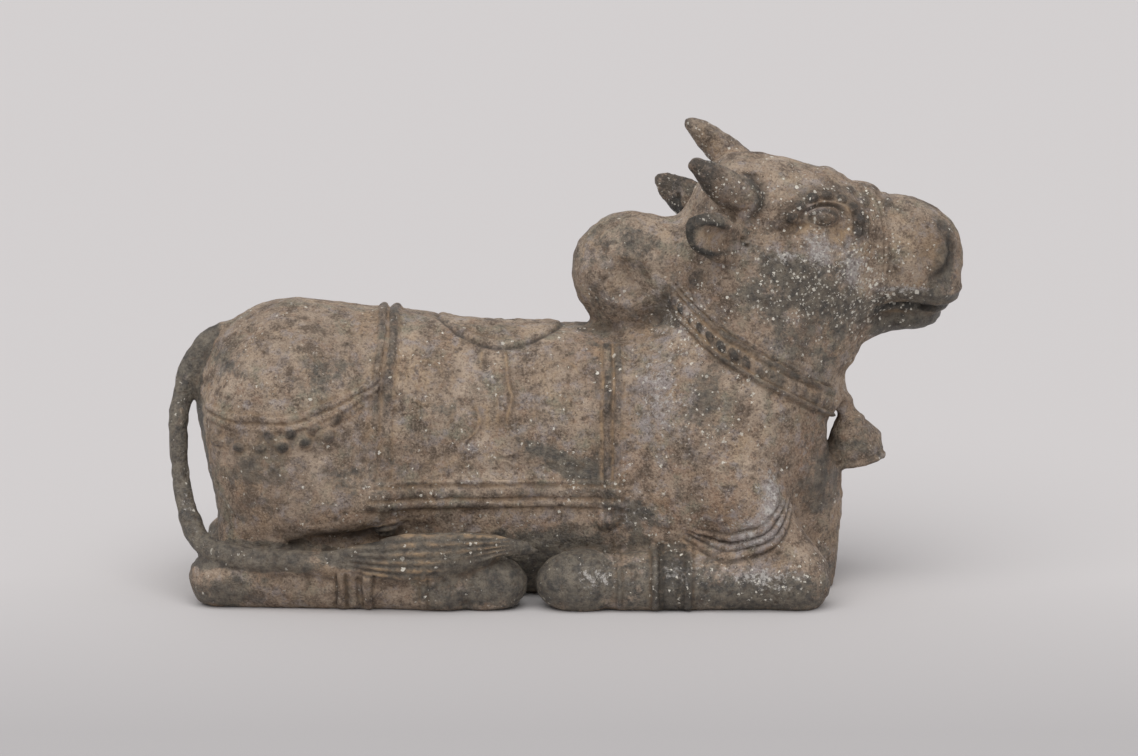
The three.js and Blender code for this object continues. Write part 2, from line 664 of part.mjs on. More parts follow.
function meshed(low, high, cell) {
  const count = low.map((value, i) => Math.ceil((high[i] - value) / cell) + 1);
  const [nx, ny, nz] = count;
  const field = new Float32Array(nx * ny * nz);
  const at = (i, j, k) => (k * ny + j) * nx + i;
  // only the blocks of cells that the skin may pass are worked out point by point, from the lumps near them
  const block = 4;
  const half = (block - 1) / 2;
  const reach = Math.sqrt(3) * half * cell;
  const depth = 1.5 * reach + 0.6;
  for (let bk = 0; bk < nz; bk += block) {
    for (let bj = 0; bj < ny; bj += block) {
      for (let bi = 0; bi < nx; bi += block) {
        const [x, y, z] = [bi, bj, bk].map((value, i) => low[i] + (value + half) * cell);
        const middle = figure(x, y, z, clay);
        const crossed = Math.abs(middle) < depth;
        const isNear = (lump) => {
          const away = Math.hypot(x - lump.x, y - lump.y, z - lump.z);
          return away < lump.reach + depth + 2 * reach;
        };
        const lumps = crossed ? clay.filter(isNear) : [];
        for (let k = bk; k < Math.min(bk + block, nz); k++) {
          for (let j = bj; j < Math.min(bj + block, ny); j++) {
            for (let i = bi; i < Math.min(bi + block, nx); i++) {
              let value = middle;
              if (crossed) {
                value = figure(low[0] + i * cell, low[1] + j * cell, low[2] + k * cell, lumps);
              }
              if (i * j * k === 0) value = cell; // the box's own faces are outside
              field[at(i, j, k)] = Math.abs(value) < 1e-4 ? 1e-4 : value;
            }
          }
        }
      }
    }
  }
  const points = [];
  const faces = [];
  const known = new Map();
  function crossing(i, j, k, edge) {
    const [a, b] = EDGES[edge].map((c) => [i + CORNERS[c][0], j + CORNERS[c][1], k + CORNERS[c][2]]);
    const [ia, ib] = [at(...a), at(...b)];
    const key = Math.min(ia, ib) * field.length + Math.max(ia, ib);
    if (!known.has(key)) {
      const t = Math.min(Math.max(field[ia] / (field[ia] - field[ib]), 0.02), 0.98);
      known.set(key, points.length / 3);
      for (let axis = 0; axis < 3; axis++) {
        points.push(low[axis] + (a[axis] + (b[axis] - a[axis]) * t) * cell);
      }
    }
    return known.get(key);
  }
  for (let k = 0; k < nz - 1; k++) {
    for (let j = 0; j < ny - 1; j++) {
      for (let i = 0; i < nx - 1; i++) {
        let inside = 0;
        for (let c = 0; c < 8; c++) {
          const [ci, cj, ck] = CORNERS[c];
          if (field[at(i + ci, j + cj, k + ck)] < 0) inside |= 1 << c;
        }
        if (!edgeTable[inside]) continue;
        for (let t = inside * 16; triTable[t] !== -1; t += 3) {
          const edges = [triTable[t], triTable[t + 2], triTable[t + 1]];
          faces.push(...edges.map((edge) => crossing(i, j, k, edge)));
        }
      }
    }
  }
  return { points: Float64Array.from(points), faces: Int32Array.from(faces) };
}

// Thins a closed mesh to a number of triangles by folding the edges whose loss shows least
function thinned({ points, faces }, wanted) {
  const corners = points.length / 3;
  const around = Array.from({ length: corners }, () => new Set());
  const quadric = new Float64Array(corners * 10);
  const stamp = new Int32Array(corners);
  const alive = new Uint8Array(faces.length / 3).fill(1);
  const normalOf = (a, b, c) => {
    const [ux, uy, uz] = [b[0] - a[0], b[1] - a[1], b[2] - a[2]];
    const [vx, vy, vz] = [c[0] - a[0], c[1] - a[1], c[2] - a[2]];
    return [uy * vz - uz * vy, uz * vx - ux * vz, ux * vy - uy * vx];
  };
  const pointOf = (v) => [points[3 * v], points[3 * v + 1], points[3 * v + 2]];
  for (let f = 0; f < alive.length; f++) {
    const [a, b, c] = [faces[3 * f], faces[3 * f + 1], faces[3 * f + 2]];
    const n = normalOf(pointOf(a), pointOf(b), pointOf(c));
    const area = Math.hypot(...n) || 1e-12;
    const plane = n.map((value) => value / area);
    const [x, y, z] = pointOf(a);
    plane.push(-(plane[0] * x + plane[1] * y + plane[2] * z));
    for (const v of [a, b, c]) {
      around[v].add(f);
      let at = v * 10;
      for (let i = 0; i < 4; i++) {
        for (let j = i; j < 4; j++) quadric[at++] += plane[i] * plane[j] * area;
      }
    }
  }
  const errorAt = (q, [x, y, z]) =>
    q[0] * x * x + 2 * q[1] * x * y + 2 * q[2] * x * z + 2 * q[3] * x + q[4] * y * y +
    2 * q[5] * y * z + 2 * q[6] * y + q[7] * z * z + 2 * q[8] * z + q[9];
  function best(u, v) {
    const q = new Float64Array(10);
    for (let i = 0; i < 10; i++) q[i] = quadric[u * 10 + i] + quadric[v * 10 + i];
    const [pu, pv] = [pointOf(u), pointOf(v)];
    const options = [pu, pv, pu.map((value, i) => (value + pv[i]) / 2)];
    const m = new THREE.Matrix3().set(q[0], q[1], q[2], q[1], q[4], q[5], q[2], q[5], q[7]);
    const size = (q[0] + q[4] + q[7]) / 3;
    if (Math.abs(m.determinant()) > 1e-3 * size ** 3) {
      const p = new THREE.Vector3(-q[3], -q[6], -q[8]).applyMatrix3(m.invert()).toArray();
      const reach = Math.hypot(...pu.map((value, i) => value - pv[i]));
      if (Math.hypot(...p.map((value, i) => value - options[2][i])) < reach) options.unshift(p);
    }
    let chosen = options[0];
    for (const p of options) if (errorAt(q, p) < errorAt(q, chosen)) chosen = p;
    const edge = pu.reduce((sum, value, i) => sum + (value - pv[i]) ** 2, 0);
    return { cost: Math.max(errorAt(q, chosen), 0) + 1e-5 * edge, place: chosen };
  }
  const heap = [];
  const swap = (i, j) => ([heap[i], heap[j]] = [heap[j], heap[i]]);
  function push(item) {
    let i = heap.push(item) - 1;
    while (i > 0 && heap[(i - 1) >> 1].cost > heap[i].cost) {
      swap(i, (i - 1) >> 1);
      i = (i - 1) >> 1;
    }
  }
  function pop() {
    const first = heap[0];
    const last = heap.pop();
    if (heap.length) heap[0] = last;
    for (let i = 0; ; ) {
      let least = i;
      for (const child of [2 * i + 1, 2 * i + 2]) {
        if (child < heap.length && heap[child].cost < heap[least].cost) least = child;
      }
      if (least === i) return first;
      swap(i, least);
      i = least;
    }
  }
  const neighbours = (v) => {
    const found = new Set();
    for (const f of around[v]) {
      for (let i = 0; i < 3; i++) found.add(faces[3 * f + i]);
    }
    found.delete(v);
    return found;
  };
  const consider = (u, v) => push({ u, v, su: stamp[u], sv: stamp[v], ...best(u, v) });
  const turnsOver = (moving, other, place) => {
    for (const f of around[moving]) {
      const ring = [faces[3 * f], faces[3 * f + 1], faces[3 * f + 2]];
      if (ring.includes(other)) continue;
      const before = normalOf(...ring.map(pointOf));
      const after = normalOf(...ring.map((v) => (v === moving ? place : pointOf(v))));
      const dot = before[0] * after[0] + before[1] * after[1] + before[2] * after[2];
      const size = Math.hypot(...after);
      if (dot < 0.5 * Math.hypot(...before) * size || size < 1e-5) return true;
    }
    return false;
  };
  for (let v = 0; v < corners; v++) {
    for (const w of neighbours(v)) if (v < w) consider(v, w);
  }
  let left = alive.length;
  while (left > wanted && heap.length) {
    const { u, v, su, sv, place } = pop();
    if (stamp[u] !== su || stamp[v] !== sv) continue;
    const ringU = neighbours(u);
    const shared = [...neighbours(v)].filter((w) => ringU.has(w));
    if (shared.length !== 2 || shared.some((w) => around[w].size < 4)) continue;
    if (turnsOver(u, v, place) || turnsOver(v, u, place)) continue;
    for (const f of [...around[v]]) {
      const at = [0, 1, 2].find((i) => faces[3 * f + i] === v);
      if (around[u].has(f)) {
        for (let i = 0; i < 3; i++) around[faces[3 * f + i]].delete(f);
        alive[f] = 0;
        left--;
      } else {
        faces[3 * f + at] = u;
        around[u].add(f);
      }
    }
    around[v].clear();
    for (let i = 0; i < 3; i++) points[3 * u + i] = place[i];
    for (let i = 0; i < 10; i++) quadric[u * 10 + i] += quadric[v * 10 + i];
    stamp[v] = -1;
    stamp[u]++;
    for (const w of neighbours(u)) consider(Math.min(u, w), Math.max(u, w));
  }
  const kept = [];
  for (let f = 0; f < alive.length; f++) {
    if (alive[f]) kept.push(faces[3 * f], faces[3 * f + 1], faces[3 * f + 2]);
  }
  return { points, faces: kept };
}

// Solids to join and cut
const wasm = await Module();
wasm.setup();

function solidOf({ points, faces }) {
  const mesh = new wasm.Mesh({
    numProp: 3,
    vertProperties: Float32Array.from(points, (p) => p * UNIT),
    triVerts: Uint32Array.from(faces),
  });
  return new wasm.Manifold(mesh);
}

// The box of cells that is meshed, in shares of the length, with room around the figure
const BOX = { low: [-51.5, -24, -1.4], high: [52.5, 24, 62] };

function castSolid() {
  modelled();
  const clayed = solidOf(thinned(meshed(BOX.low, BOX.high, share(CELL)), TRIANGLES));
  const cut = clayed.trimByPlane([0, 0, 1], FOOT_FLAT);
  // crumbs smaller than a cell, which thin spots leave in the mesh, are no part of the casting
  return wasm.Manifold.compose(cut.decompose().filter((piece) => piece.volume() > CELL ** 3));
}

// The origin is the middle of the figure's box, on the plane it rests on.
function standing(solid) {
  const mesh = solid.getMesh();
  const geometry = new THREE.BufferGeometry();
  geometry.setAttribute("position", new THREE.BufferAttribute(new Float32Array(mesh.vertProperties), 3));
  geometry.setIndex(new THREE.BufferAttribute(new Uint32Array(mesh.triVerts), 1));
  geometry.computeBoundingBox();
  const { min, max } = geometry.boundingBox;
  geometry.translate(-(min.x + max.x) / 2, -(min.y + max.y) / 2, -min.z);
  geometry.computeVertexNormals();
  return geometry;
}

const bronze = new THREE.MeshStandardMaterial({ color: 0x5f564c, roughness: 0.62, metalness: 0.35 });
const bull = new THREE.Mesh(standing(castSolid()), bronze);
bull.name = "nandi_bull";

const nandi = new THREE.Group();
nandi.add(bull);

export default nandi;
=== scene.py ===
# %% [markdown]
# # A small bronze bull, as a museum photographs it
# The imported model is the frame: its one node, `nandi_bull`, has the true size, pose and outline.
# This lesson keeps that form and gives it the skin of an old casting: the fine relief that was
# modelled in wax, then the wear, the earth in the hollows and the patina that colour it.

import bpy
import numpy as np
from mathutils import Matrix, Vector


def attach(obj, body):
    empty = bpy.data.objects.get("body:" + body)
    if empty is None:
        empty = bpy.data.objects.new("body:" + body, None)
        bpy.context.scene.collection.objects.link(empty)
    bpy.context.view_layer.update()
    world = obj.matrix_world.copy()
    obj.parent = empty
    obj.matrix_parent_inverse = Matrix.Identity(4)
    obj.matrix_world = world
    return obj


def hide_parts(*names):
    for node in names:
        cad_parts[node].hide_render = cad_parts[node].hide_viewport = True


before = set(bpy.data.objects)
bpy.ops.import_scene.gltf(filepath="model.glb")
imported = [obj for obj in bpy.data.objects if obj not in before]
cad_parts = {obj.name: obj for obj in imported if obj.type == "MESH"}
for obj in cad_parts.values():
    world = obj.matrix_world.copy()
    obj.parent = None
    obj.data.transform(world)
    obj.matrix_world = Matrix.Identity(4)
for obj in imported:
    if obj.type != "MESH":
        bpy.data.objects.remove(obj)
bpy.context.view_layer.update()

# %% [markdown]
# ## Where things are
# The bull was drawn in hundredths of its length, from a point under its heart. The same units
# are used here, so that a bead or a groove has the place that it has in the solid. The head has
# axes of its own, because it is turned and rolled on the neck.

# %% The drawing's units, and the head's
# Metres in a unit, and how far the frame's origin lies from the drawing's zero point
UNIT = 0.00221
HEART = np.array([0.000847, -0.001192, 0.0009])
MM = 0.001
HEAD_PIVOT = Vector((22, 0, 42))
HEAD_TURN, HEAD_ROLL = np.radians(7), np.radians(7)


# Metres in the frame, as units of the drawing
def drawn(metres):
    return (metres + HEART) / UNIT


def head_axes():
    turn = Matrix.Rotation(HEAD_TURN, 4, "Z") @ Matrix.Rotation(HEAD_ROLL, 4, "X")
    return np.array(Matrix.Translation(HEAD_PIVOT) @ turn @ Matrix.Translation(-HEAD_PIVOT))


HEAD_INVERSE = np.linalg.inv(head_axes())


# Places in the drawing, as the head's own axes have them
def in_head(points):
    return points @ HEAD_INVERSE[:3, :3].T + HEAD_INVERSE[:3, 3]


print("head pivot:", tuple(HEAD_PIVOT))

# %% [markdown]
# ## The skin to work on
# The solid is faceted, with few triangles, so it can't take fine work. A copy of it is merged,
# and a voxel remesh lays an even net of small squares over the same form. Subdividing the
# facets instead would keep their edges and give uneven squares.

# %% Copy the casting and remesh it
VOXEL = 0.7 * MM
MERGE = 1e-6


# Selects one object and no other
def only(piece):
    bpy.ops.object.select_all(action="DESELECT")
    piece.select_set(True)
    bpy.context.view_layer.objects.active = piece


# Gives the object a modifier and applies it
def apply(piece, kind, **values):
    only(piece)
    modifier = piece.modifiers.new(kind.lower(), kind)
    for name, value in values.items():
        setattr(modifier, name, value)
    bpy.ops.object.modifier_apply(modifier=modifier.name)


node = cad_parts["nandi_bull"]
bull = bpy.data.objects.new("bull_bronze", node.data.copy())
bpy.context.collection.objects.link(bull)
bull.data.materials.clear()
only(bull)
bpy.ops.object.mode_set(mode="EDIT")
bpy.ops.mesh.select_all(action="SELECT")
bpy.ops.mesh.remove_doubles(threshold=MERGE)
bpy.ops.object.mode_set(mode="OBJECT")
apply(bull, "REMESH", mode="VOXEL", voxel_size=VOXEL, use_smooth_shade=True)
print("net of squares:", len(bull.data.polygons))


# %% Read and write the net
def read(piece):
    points = np.empty(len(piece.data.vertices) * 3)
    piece.data.vertices.foreach_get("co", points)
    return points.reshape(-1, 3)


def normals_of(piece):
    normals = np.empty(len(piece.data.vertices) * 3)
    piece.data.vertex_normals.foreach_get("vector", normals)
    return normals.reshape(-1, 3)


# The two ends of each edge
def links_of(piece):
    links = np.empty(len(piece.data.edges) * 2, dtype=np.int32)
    piece.data.edges.foreach_get("vertices", links)
    return links.reshape(-1, 2)


def write(piece, points):
    piece.data.vertices.foreach_set("co", points.ravel())
    piece.data.update()


# The mean of each point's neighbours
def neighbours(values, links):
    count = len(values)
    a, b = links[:, 0], links[:, 1]
    valence = np.bincount(a, minlength=count) + np.bincount(b, minlength=count)
    total = np.empty_like(values)
    for axis in range(values.shape[1]):
        column = values[:, axis]
        total[:, axis] = np.bincount(a, column[b], count) + np.bincount(b, column[a], count)
    return total / valence[:, None]


# Values spread to their neighbours, half the way each time
def relaxed(values, links, times):
    for _ in range(times):
        values = values + (neighbours(values, links) - values) * 0.5
    return values


print("points:", len(bull.data.vertices))


# %% Profiles that the relief is made of
def rise(low, high, value):
    t = np.clip((value - low) / (high - low), 0, 1)
    return t * t * (3 - 2 * t)


# 1 between low and high, falling to 0 over a distance edge outside
def within(low, high, edge, value):
    return rise(low - edge, low, value) - rise(high, high + edge, value)


# A round cord, 1 high on the line where value is 0
def cord(value, half):
    return np.sqrt(np.clip(1 - (value / half) ** 2, 0, 1))


# A soft groove or lump, 1 deep where value is 0
def dip(value, half):
    return np.exp(-((value / half) ** 2))


# A domed bead at the middle of an ellipse
def dome(across, up):
    return np.sqrt(np.clip(1 - across**2 - up**2, 0, 1))


print("height of a cord halfway out:", round(float(cord(np.array(0.5), 1)), 2))

# %% [markdown]
# ## Losing the facets
# The facets are smoothed away by moves that alternately relax the net and push it back out, so
# that nothing shrinks. Thin parts, such as the tail, the ears and the lips, take less of it. The
# places that get new relief are smoothed in full, so that the relief starts from clean metal.

# %% The lines of the trappings, as the solid has them
# Places are x and z in the drawing. The medallion's third number is its radius.
COLLAR_AT, COLLAR_SLOPE, COLLAR_CURL = (20.6, 32.4), 0.58, 0.045
COLLAR_REAR, COLLAR_FRONT = 13.4, 34
EYE = (31.1, 49.5)
HUMP_MIDDLE = (8.6, 40.8)
CLOTH_REAR, CLOTH_FRONT, CLOTH_HEM = -23.6, 7.2, 13.2
MEDALLION = (-8, 34.9, 7.9)
SWAG_LOW, SWAG_Z = -38, 24.2


# How far a point lies across the collar, from its middle line
def collar_across(x, z):
    ahead = x - COLLAR_AT[0]
    line = COLLAR_AT[1] - COLLAR_SLOPE * ahead + COLLAR_CURL * np.minimum(ahead, 0) ** 2
    return (z - line) / np.hypot(1, COLLAR_SLOPE)


# The height of the crupper's upper cord
def swag_line(x):
    run = x - SWAG_LOW
    return SWAG_Z + np.where(run < 0, 0.02, 0.0215) * run**2


print("crupper at the hip:", round(float(swag_line(np.array(-30.0))), 1))

# %% Smooth the net
RELAX, PUSH = 0.6, -0.625
FIRST_PASSES, FULL_PASSES = 6, 60
BEND_REACH, WIDE_REACH, FEATHER = 25, 70, 4
FLAT_BEND, SHARP_BEND = 0.12, 0.45


def smooth(points, links, weight, times):
    for _ in range(times):
        for step in (RELAX, PUSH):
            points = points + (neighbours(points, links) - points) * step * weight[:, None]
    return points


points = read(bull)
links = links_of(bull)
points = smooth(points, links, np.ones(len(points)), FIRST_PASSES)
write(bull, points)
bend = np.abs(((relaxed(points, links, BEND_REACH) - points) * normals_of(bull)).sum(1)) / MM
broad = 1 - rise(FLAT_BEND, SHARP_BEND, bend)
x, y, z = drawn(points).T
hx, hy, hz = in_head(drawn(points)).T
barrel = (z > 11.5) & (x < 14) & (x > -43) & (np.hypot(x - HUMP_MIDDLE[0], z - HUMP_MIDDLE[1]) > 9)
collar = (x > COLLAR_REAR) & (x < COLLAR_FRONT - 1) & (np.abs(collar_across(x, z)) < 2.8)
brows = (np.hypot(hx - EYE[0] - 0.4, (hz - EYE[1]) * 1.1) < 6.5) & (np.abs(hy) > 4)
broad = np.maximum(broad, barrel | collar | brows)
points = smooth(points, links, relaxed(broad[:, None], links, FEATHER)[:, 0], FULL_PASSES)
write(bull, points)
print("share smoothed in full:", round(float((broad > 0.99).mean()), 2))


# %% Broad hollows, then four squares for one
# Keeps a value for each point, where modifiers and materials can read it
def keep(name, values):
    attribute = bull.data.attributes.new(name, "FLOAT", "POINT")
    attribute.data.foreach_set("value", np.ascontiguousarray(values, dtype=np.float32))


WIDEST = 3
wide = ((relaxed(points, links, WIDE_REACH) - points) * normals_of(bull)).sum(1) / MM
keep("wide", np.clip(wide, -WIDEST, WIDEST))
apply(bull, "SUBSURF", levels=1, subdivision_type="CATMULL_CLARK")
print("points after dividing:", len(bull.data.vertices))

# %% [markdown]
# ## Where each point lies
# All the relief is worked out at once for the whole net: a height in millimetres along each
# point's normal, from the point's place in the drawing. Two masks are filled beside it for the
# finish: `earth` for grooves that hold ochre earth, and `dark` for what hands or grime blackened
# and for painted shade under the flank and between bell and breast.
# Moves in code do here what a sculptor's brush would, and stay repeatable.

# %% Places and masks
points = read(bull)
links = links_of(bull)
x, y, z = drawn(points).T
hx, hy, hz = in_head(drawn(points)).T
away, side_on = np.abs(y), np.abs(hy)
near = rise(2, -2, y)
lift = np.zeros(len(points))
earth = np.zeros(len(points))
dark = np.zeros(len(points))
WAVES, WAVES_SUM = 14, 3.7


# Lumps one to three sizes apart, mostly from -1 to 1, for worn and uneven work
def uneven(size, seed):
    spread = np.random.default_rng(seed)
    total = np.zeros(len(points))
    for _ in range(WAVES):
        wave = spread.normal(size=3)
        wave *= (2.2 + spread.random() * 2.5) / (size * np.linalg.norm(wave))
        total += np.sin(x * wave[0] + y * wave[1] + z * wave[2] + spread.random() * 6.3)
    return total / WAVES_SUM


worn = 0.8 + 0.2 * uneven(5, 1)
waver = uneven(4, 2) * 0.12
print("relief to come on", len(points), "points")

# %% [markdown]
# ## The collar
# A strap with two corded edges and a row of round studs, as wax threads and pellets make it. The
# studs are spaced by the distance walked along the skin, because an angle round the neck would
# bunch them up at the throat.

# %% The way walked round the neck
SLOTS = 180
across = collar_across(x, z)
strap = (x > COLLAR_REAR) & (x < COLLAR_FRONT) & (np.abs(across) < 2.6)
around = np.arctan2(y, x - 24)
bins = np.linspace(-np.pi, np.pi, SLOTS + 1)
row = strap & (np.abs(across) < 0.6)
slot = np.digitize(around[row], bins) - 1
filled = np.bincount(slot, minlength=SLOTS) > 0
inside_slot = np.bincount(slot, minlength=SLOTS)[filled]
middles = [np.bincount(slot, v[row], SLOTS)[filled] / inside_slot for v in (x, y, z)]
steps = np.sqrt(sum(np.diff(m) ** 2 for m in middles))
walked = np.interp(around, (bins[:-1] + bins[1:])[filled] / 2, np.append(0, np.cumsum(steps)))
print("round the neck:", round(float(steps.sum()) * UNIT / MM), "mm")

# %% Cords and studs
STUD_PITCH, STUD_START = 1.9, 0.32
phase = (walked / STUD_PITCH + STUD_START) % 1 - 0.5
fade = rise(COLLAR_REAR, COLLAR_REAR + 1.4, x)
band = within(-1.25, 1.3, 0.15, across)
stud = dome(phase * STUD_PITCH / 0.72, (across + 0.1) / 0.64)
edges = cord(across - 1.3, 0.34) + cord(across + 1.25, 0.34) + 0.55 * cord(across - 1.95, 0.26)
collar_relief = 0.15 * band + 0.75 * edges - 0.2 * dip(np.abs(across + 0.02) - 0.82, 0.2) * band
crisp = 0.35 + 0.65 * rise(27, 23, x)
lift += strap * fade * np.maximum(collar_relief, 0.85 * stud * crisp) * (0.85 + 0.15 * worn)
grooves = dip(across - 1.64, 0.16) + dip(np.abs(across) - 0.86, 0.16) + 0.8 * dip(across + 1.72, 0.2)
lift -= strap * fade * 0.3 * grooves
earth += strap * fade * crisp * np.clip(0.3 * band * (1 - stud * 2) + 0.35 * grooves, 0, 1)
dark += strap * fade * (0.9 * crisp * rise(0.15, 0.6, stud) + 0.45 * edges + 0.3 * (1 - crisp) * band)
# The knot of the strap, high on the neck
tie = dome((x - 16.6 - (z - 40.8) * 0.3) / 1.0, (z - 40.8) / 1.5) * (away > 4)
lift += 0.6 * tie
dark += 0.8 * tie
print("studs on the collar:", int(steps.sum() / STUD_PITCH))

# %% [markdown]
# ## The face
# The eye is a low ball between two lids, under a brow of pellets. A double cord goes round the
# muzzle, with knots on the bridge of the nose. Nostril and mouth are cut in. Everything is given in
# the head's own axes and made on both sides, as the caster did.


# %% The brow and its pellets
def turned(u, v, degrees):
    angle = np.radians(degrees)
    return u * np.cos(angle) + v * np.sin(angle), v * np.cos(angle) - u * np.sin(angle)


face = (side_on > 3.2) & (hx > 24) & (hz > 42)
u, v = hx - EYE[0], hz - EYE[1]
BROW_LONG, BROW_HIGH, BROW_MEAN = 4.55, 3.5, 3.9
bu, bv = turned(u - 0.45, v + 1.1, -6)
ring = np.hypot(bu / BROW_LONG, bv / BROW_HIGH)
turn = np.degrees(np.arctan2(bv / BROW_HIGH, bu / BROW_LONG))
arch = within(-14, 176, 6, turn) * face
BROW_BEADS, BROW_STEP = 8, 25.5
bead_turn = (turn + 12) / BROW_STEP
bead_on = (bead_turn > -0.5) & (bead_turn < BROW_BEADS - 0.5)
bead_phase = (bead_turn + 0.5) % 1 - 0.5
bead = dome(bead_phase / 0.42, (ring - 1) * BROW_MEAN / 0.55) * bead_on * face
lift += 0.75 * bead
lift += 0.5 * arch * (cord((ring - 1.24) * BROW_MEAN, 0.34) + cord((ring - 0.77) * BROW_MEAN, 0.26))
dark += 0.5 * bead + 0.6 * arch * dip((ring - 1.05) * BROW_MEAN, 0.8)
curl = np.hypot((u - 5.2) / 1.3, (v + 1.3) / 1.7)
lift += face * (0.55 * np.clip(1 - curl**2, 0, 1) - 0.3 * dip(curl - 0.55, 0.2))
dark += face * 0.5 * rise(1.1, 0.8, curl)
print("brow pellets on each side:", BROW_BEADS)

# %% The eye between its lids
socket = np.hypot((u - 0.2) / 3.4, (v + 0.1) / 2.2)
lift -= face * 0.55 * np.clip(1 - socket**2, 0, 1)
lids = np.hypot((u - 0.1) / 2.05, v / 0.95)
over = rise(-0.4, 0.2, v)
lift += face * 0.65 * cord((lids - 1) * 1.3, 0.28) * (0.5 + 0.5 * over)
lift += face * 0.55 * over * cord((lids - 1.75) * 1.2, 0.26)
dark += face * 0.85 * (dip((lids - 1.35) * 1.2, 0.22) * over + dip((lids - 0.82) * 1.3, 0.2))
earth += face * 0.4 * over * cord((lids - 1.75) * 1.2, 0.26)
ball = dome((u - 0.1) / 1.2, v / 0.72)
pupil = np.hypot(u - 0.15, v)
lift += face * (0.9 * ball - 0.25 * dip(pupil - 0.45, 0.13))
dark += face * 0.6 * ball
# Beads behind the eye: place and radius
END_BEADS = ((-5.4, -1.0, 0.55), (-5.3, -2.2, 0.6), (-4.4, -3.0, 0.5))
for du, dv, r in END_BEADS:
    end_bead = dome((u - du) / r, (v - dv) / r) * face
    lift += 0.5 * end_bead
    dark += 0.3 * end_bead
# Wells at both corners of the eye: place, half length and half height
WELLS = ((2.8, -2.2, 1.9, 0.75), (-2.6, -0.9, 1.2, 0.6))
for du, dv, long, high in WELLS:
    cu, cv = turned(u - du, v - dv, 12)
    well = np.exp(-((cu / long) ** 2) - (cv / high) ** 2) * face
    lift -= 0.5 * well
    earth += 1.2 * well
print("beads behind the eye:", len(END_BEADS))

# %% Noseband and the knobs by the nose
NOSEBAND = 39.5
lean = hx - NOSEBAND - (hz - 43.5) * 0.02 + 0.012 * (hz - 43.5) ** 2
halter = within(35.2, 51, 0.8, hz) * (hx > 33) * rise(1.2, 2.4, side_on)
lift += halter * 0.2 * (cord(lean - 0.34, 0.24) + cord(lean + 0.3, 0.24))
lift -= halter * 0.16 * (dip(lean, 0.18) + 0.6 * dip(lean - 0.75, 0.22))
lift += halter * 0.12 * np.sin(hz * 7) * dip(lean, 0.6)
dark += halter * 0.3 * dip(lean - 0.75, 0.25)
# Knobs: place, radius and height
KNOBS = ((37.1, 50.7, 0.95, 0.7), (40.5, 49.9, 0.7, 0.4), (35.5, 51.9, 0.7, 0.4))
for kx, kz, r, high in KNOBS:
    knob = dome((hx - kx) / r, (hz - kz) / (r * 0.75)) * (hx > 30)
    lift += high * knob
    dark += 0.7 * knob
print("points under the noseband:", int((halter * dip(lean, 0.6) > 0.5).sum()))

# %% Nostrils, knots and mouth
FAR = 9.0


# How far each point is from a bent line through a few places, at most FAR
def stroke(places, across, up):
    away = np.full(len(across), FAR)
    for (ax, az), (bx, bz) in zip(places[:-1], places[1:]):
        t = ((across - ax) * (bx - ax) + (up - az) * (bz - az)) / ((bx - ax) ** 2 + (bz - az) ** 2)
        t = np.clip(t, 0, 1)
        away = np.minimum(away, np.hypot(across - ax - t * (bx - ax), up - az - t * (bz - az)))
    return away


muzzle = (hx > 39) & (side_on > 2)
NOSTRIL = ((46.9, 47.0), (48.0, 45.6), (48.3, 44.0), (47.8, 42.4), (46.7, 41.3), (45.5, 40.9))
nostril = stroke(NOSTRIL, hx, hz)
wing = np.hypot((hx - 46.0) / 2.4, (hz - 44.0) / 3.2)
lift -= muzzle * 0.5 * dip(nostril, 0.35)
lift += muzzle * (0.45 * np.clip(1 - wing**2, 0, 1) + 0.35 * dip(nostril - 0.75, 0.3) * rise(46, 48, hx))
dark += muzzle * 0.75 * dip(nostril, 0.8)
earth += muzzle * 0.35 * np.clip(1 - wing**2, 0, 1)
# Knots on the bridge of the nose: place, half length and height
KNOTS = ((33.4, 53.6, 1.2, 0.7), (38.2, 51.5, 1.7, 1.3), (42.6, 49.9, 1.3, 0.7))
for kx, kz, long, high in KNOTS:
    knot = np.clip(1 - ((hx - kx) / long) ** 2 - (hy / 2.8) ** 2, 0, 1) * (hz > kz - 2)
    lift += high * knot
    dark += 0.5 * knot * rise(0, long * 0.6, hx - kx)
lips = (hx > 38.5) & (hx < 51) & (hz > 33) & (hz < 40)
parting = hz - 36.9 - 0.25 * np.sin((hx - 39) * 0.5)
lift -= lips * rise(39.5, 41, hx) * 1.3 * dip(parting, 0.3)
lift += lips * rise(39.5, 41, hx) * (0.35 * dip(parting - 1.9, 0.4) + 0.3 * dip(np.abs(parting) - 0.75, 0.3))
dark += lips * (1.2 * dip(parting, 0.4) + 0.35 * rise(38.8, 38, hz))
earth += lips * 0.5 * dip(np.abs(parting + 0.1) - 0.8, 0.25)
print("strokes of a nostril:", len(NOSTRIL) - 1, "knots:", len(KNOTS))

# %% Ears
ear = (x < 22.8) & (x > 11) & (away > 8.2) & (z > 42.5)
leaf_u, leaf_v = turned(x - 18.3, z - 46.6, -17)
leaf = np.hypot(leaf_u / 3.9, leaf_v / 2.3)
rim = dip((leaf - 0.82) * 2.4, 0.32) * rise(3.2, 1.6, leaf_u)
lift += ear * (0.5 * rim - 0.35 * np.clip(0.75 - leaf, 0, 1))
dark += ear * np.clip(1.1 * rim + 0.9 * rise(-1.6, -2.6, leaf_u), 0, 1)
fold = np.hypot((x - 21.1) / 1.0, (z - 45.6) / 1.7)
lift += ear * 0.7 * np.clip(1 - fold**2, 0, 1)
earth += ear * 0.8 * np.clip(1.1 - leaf * 1.7, 0, 1)
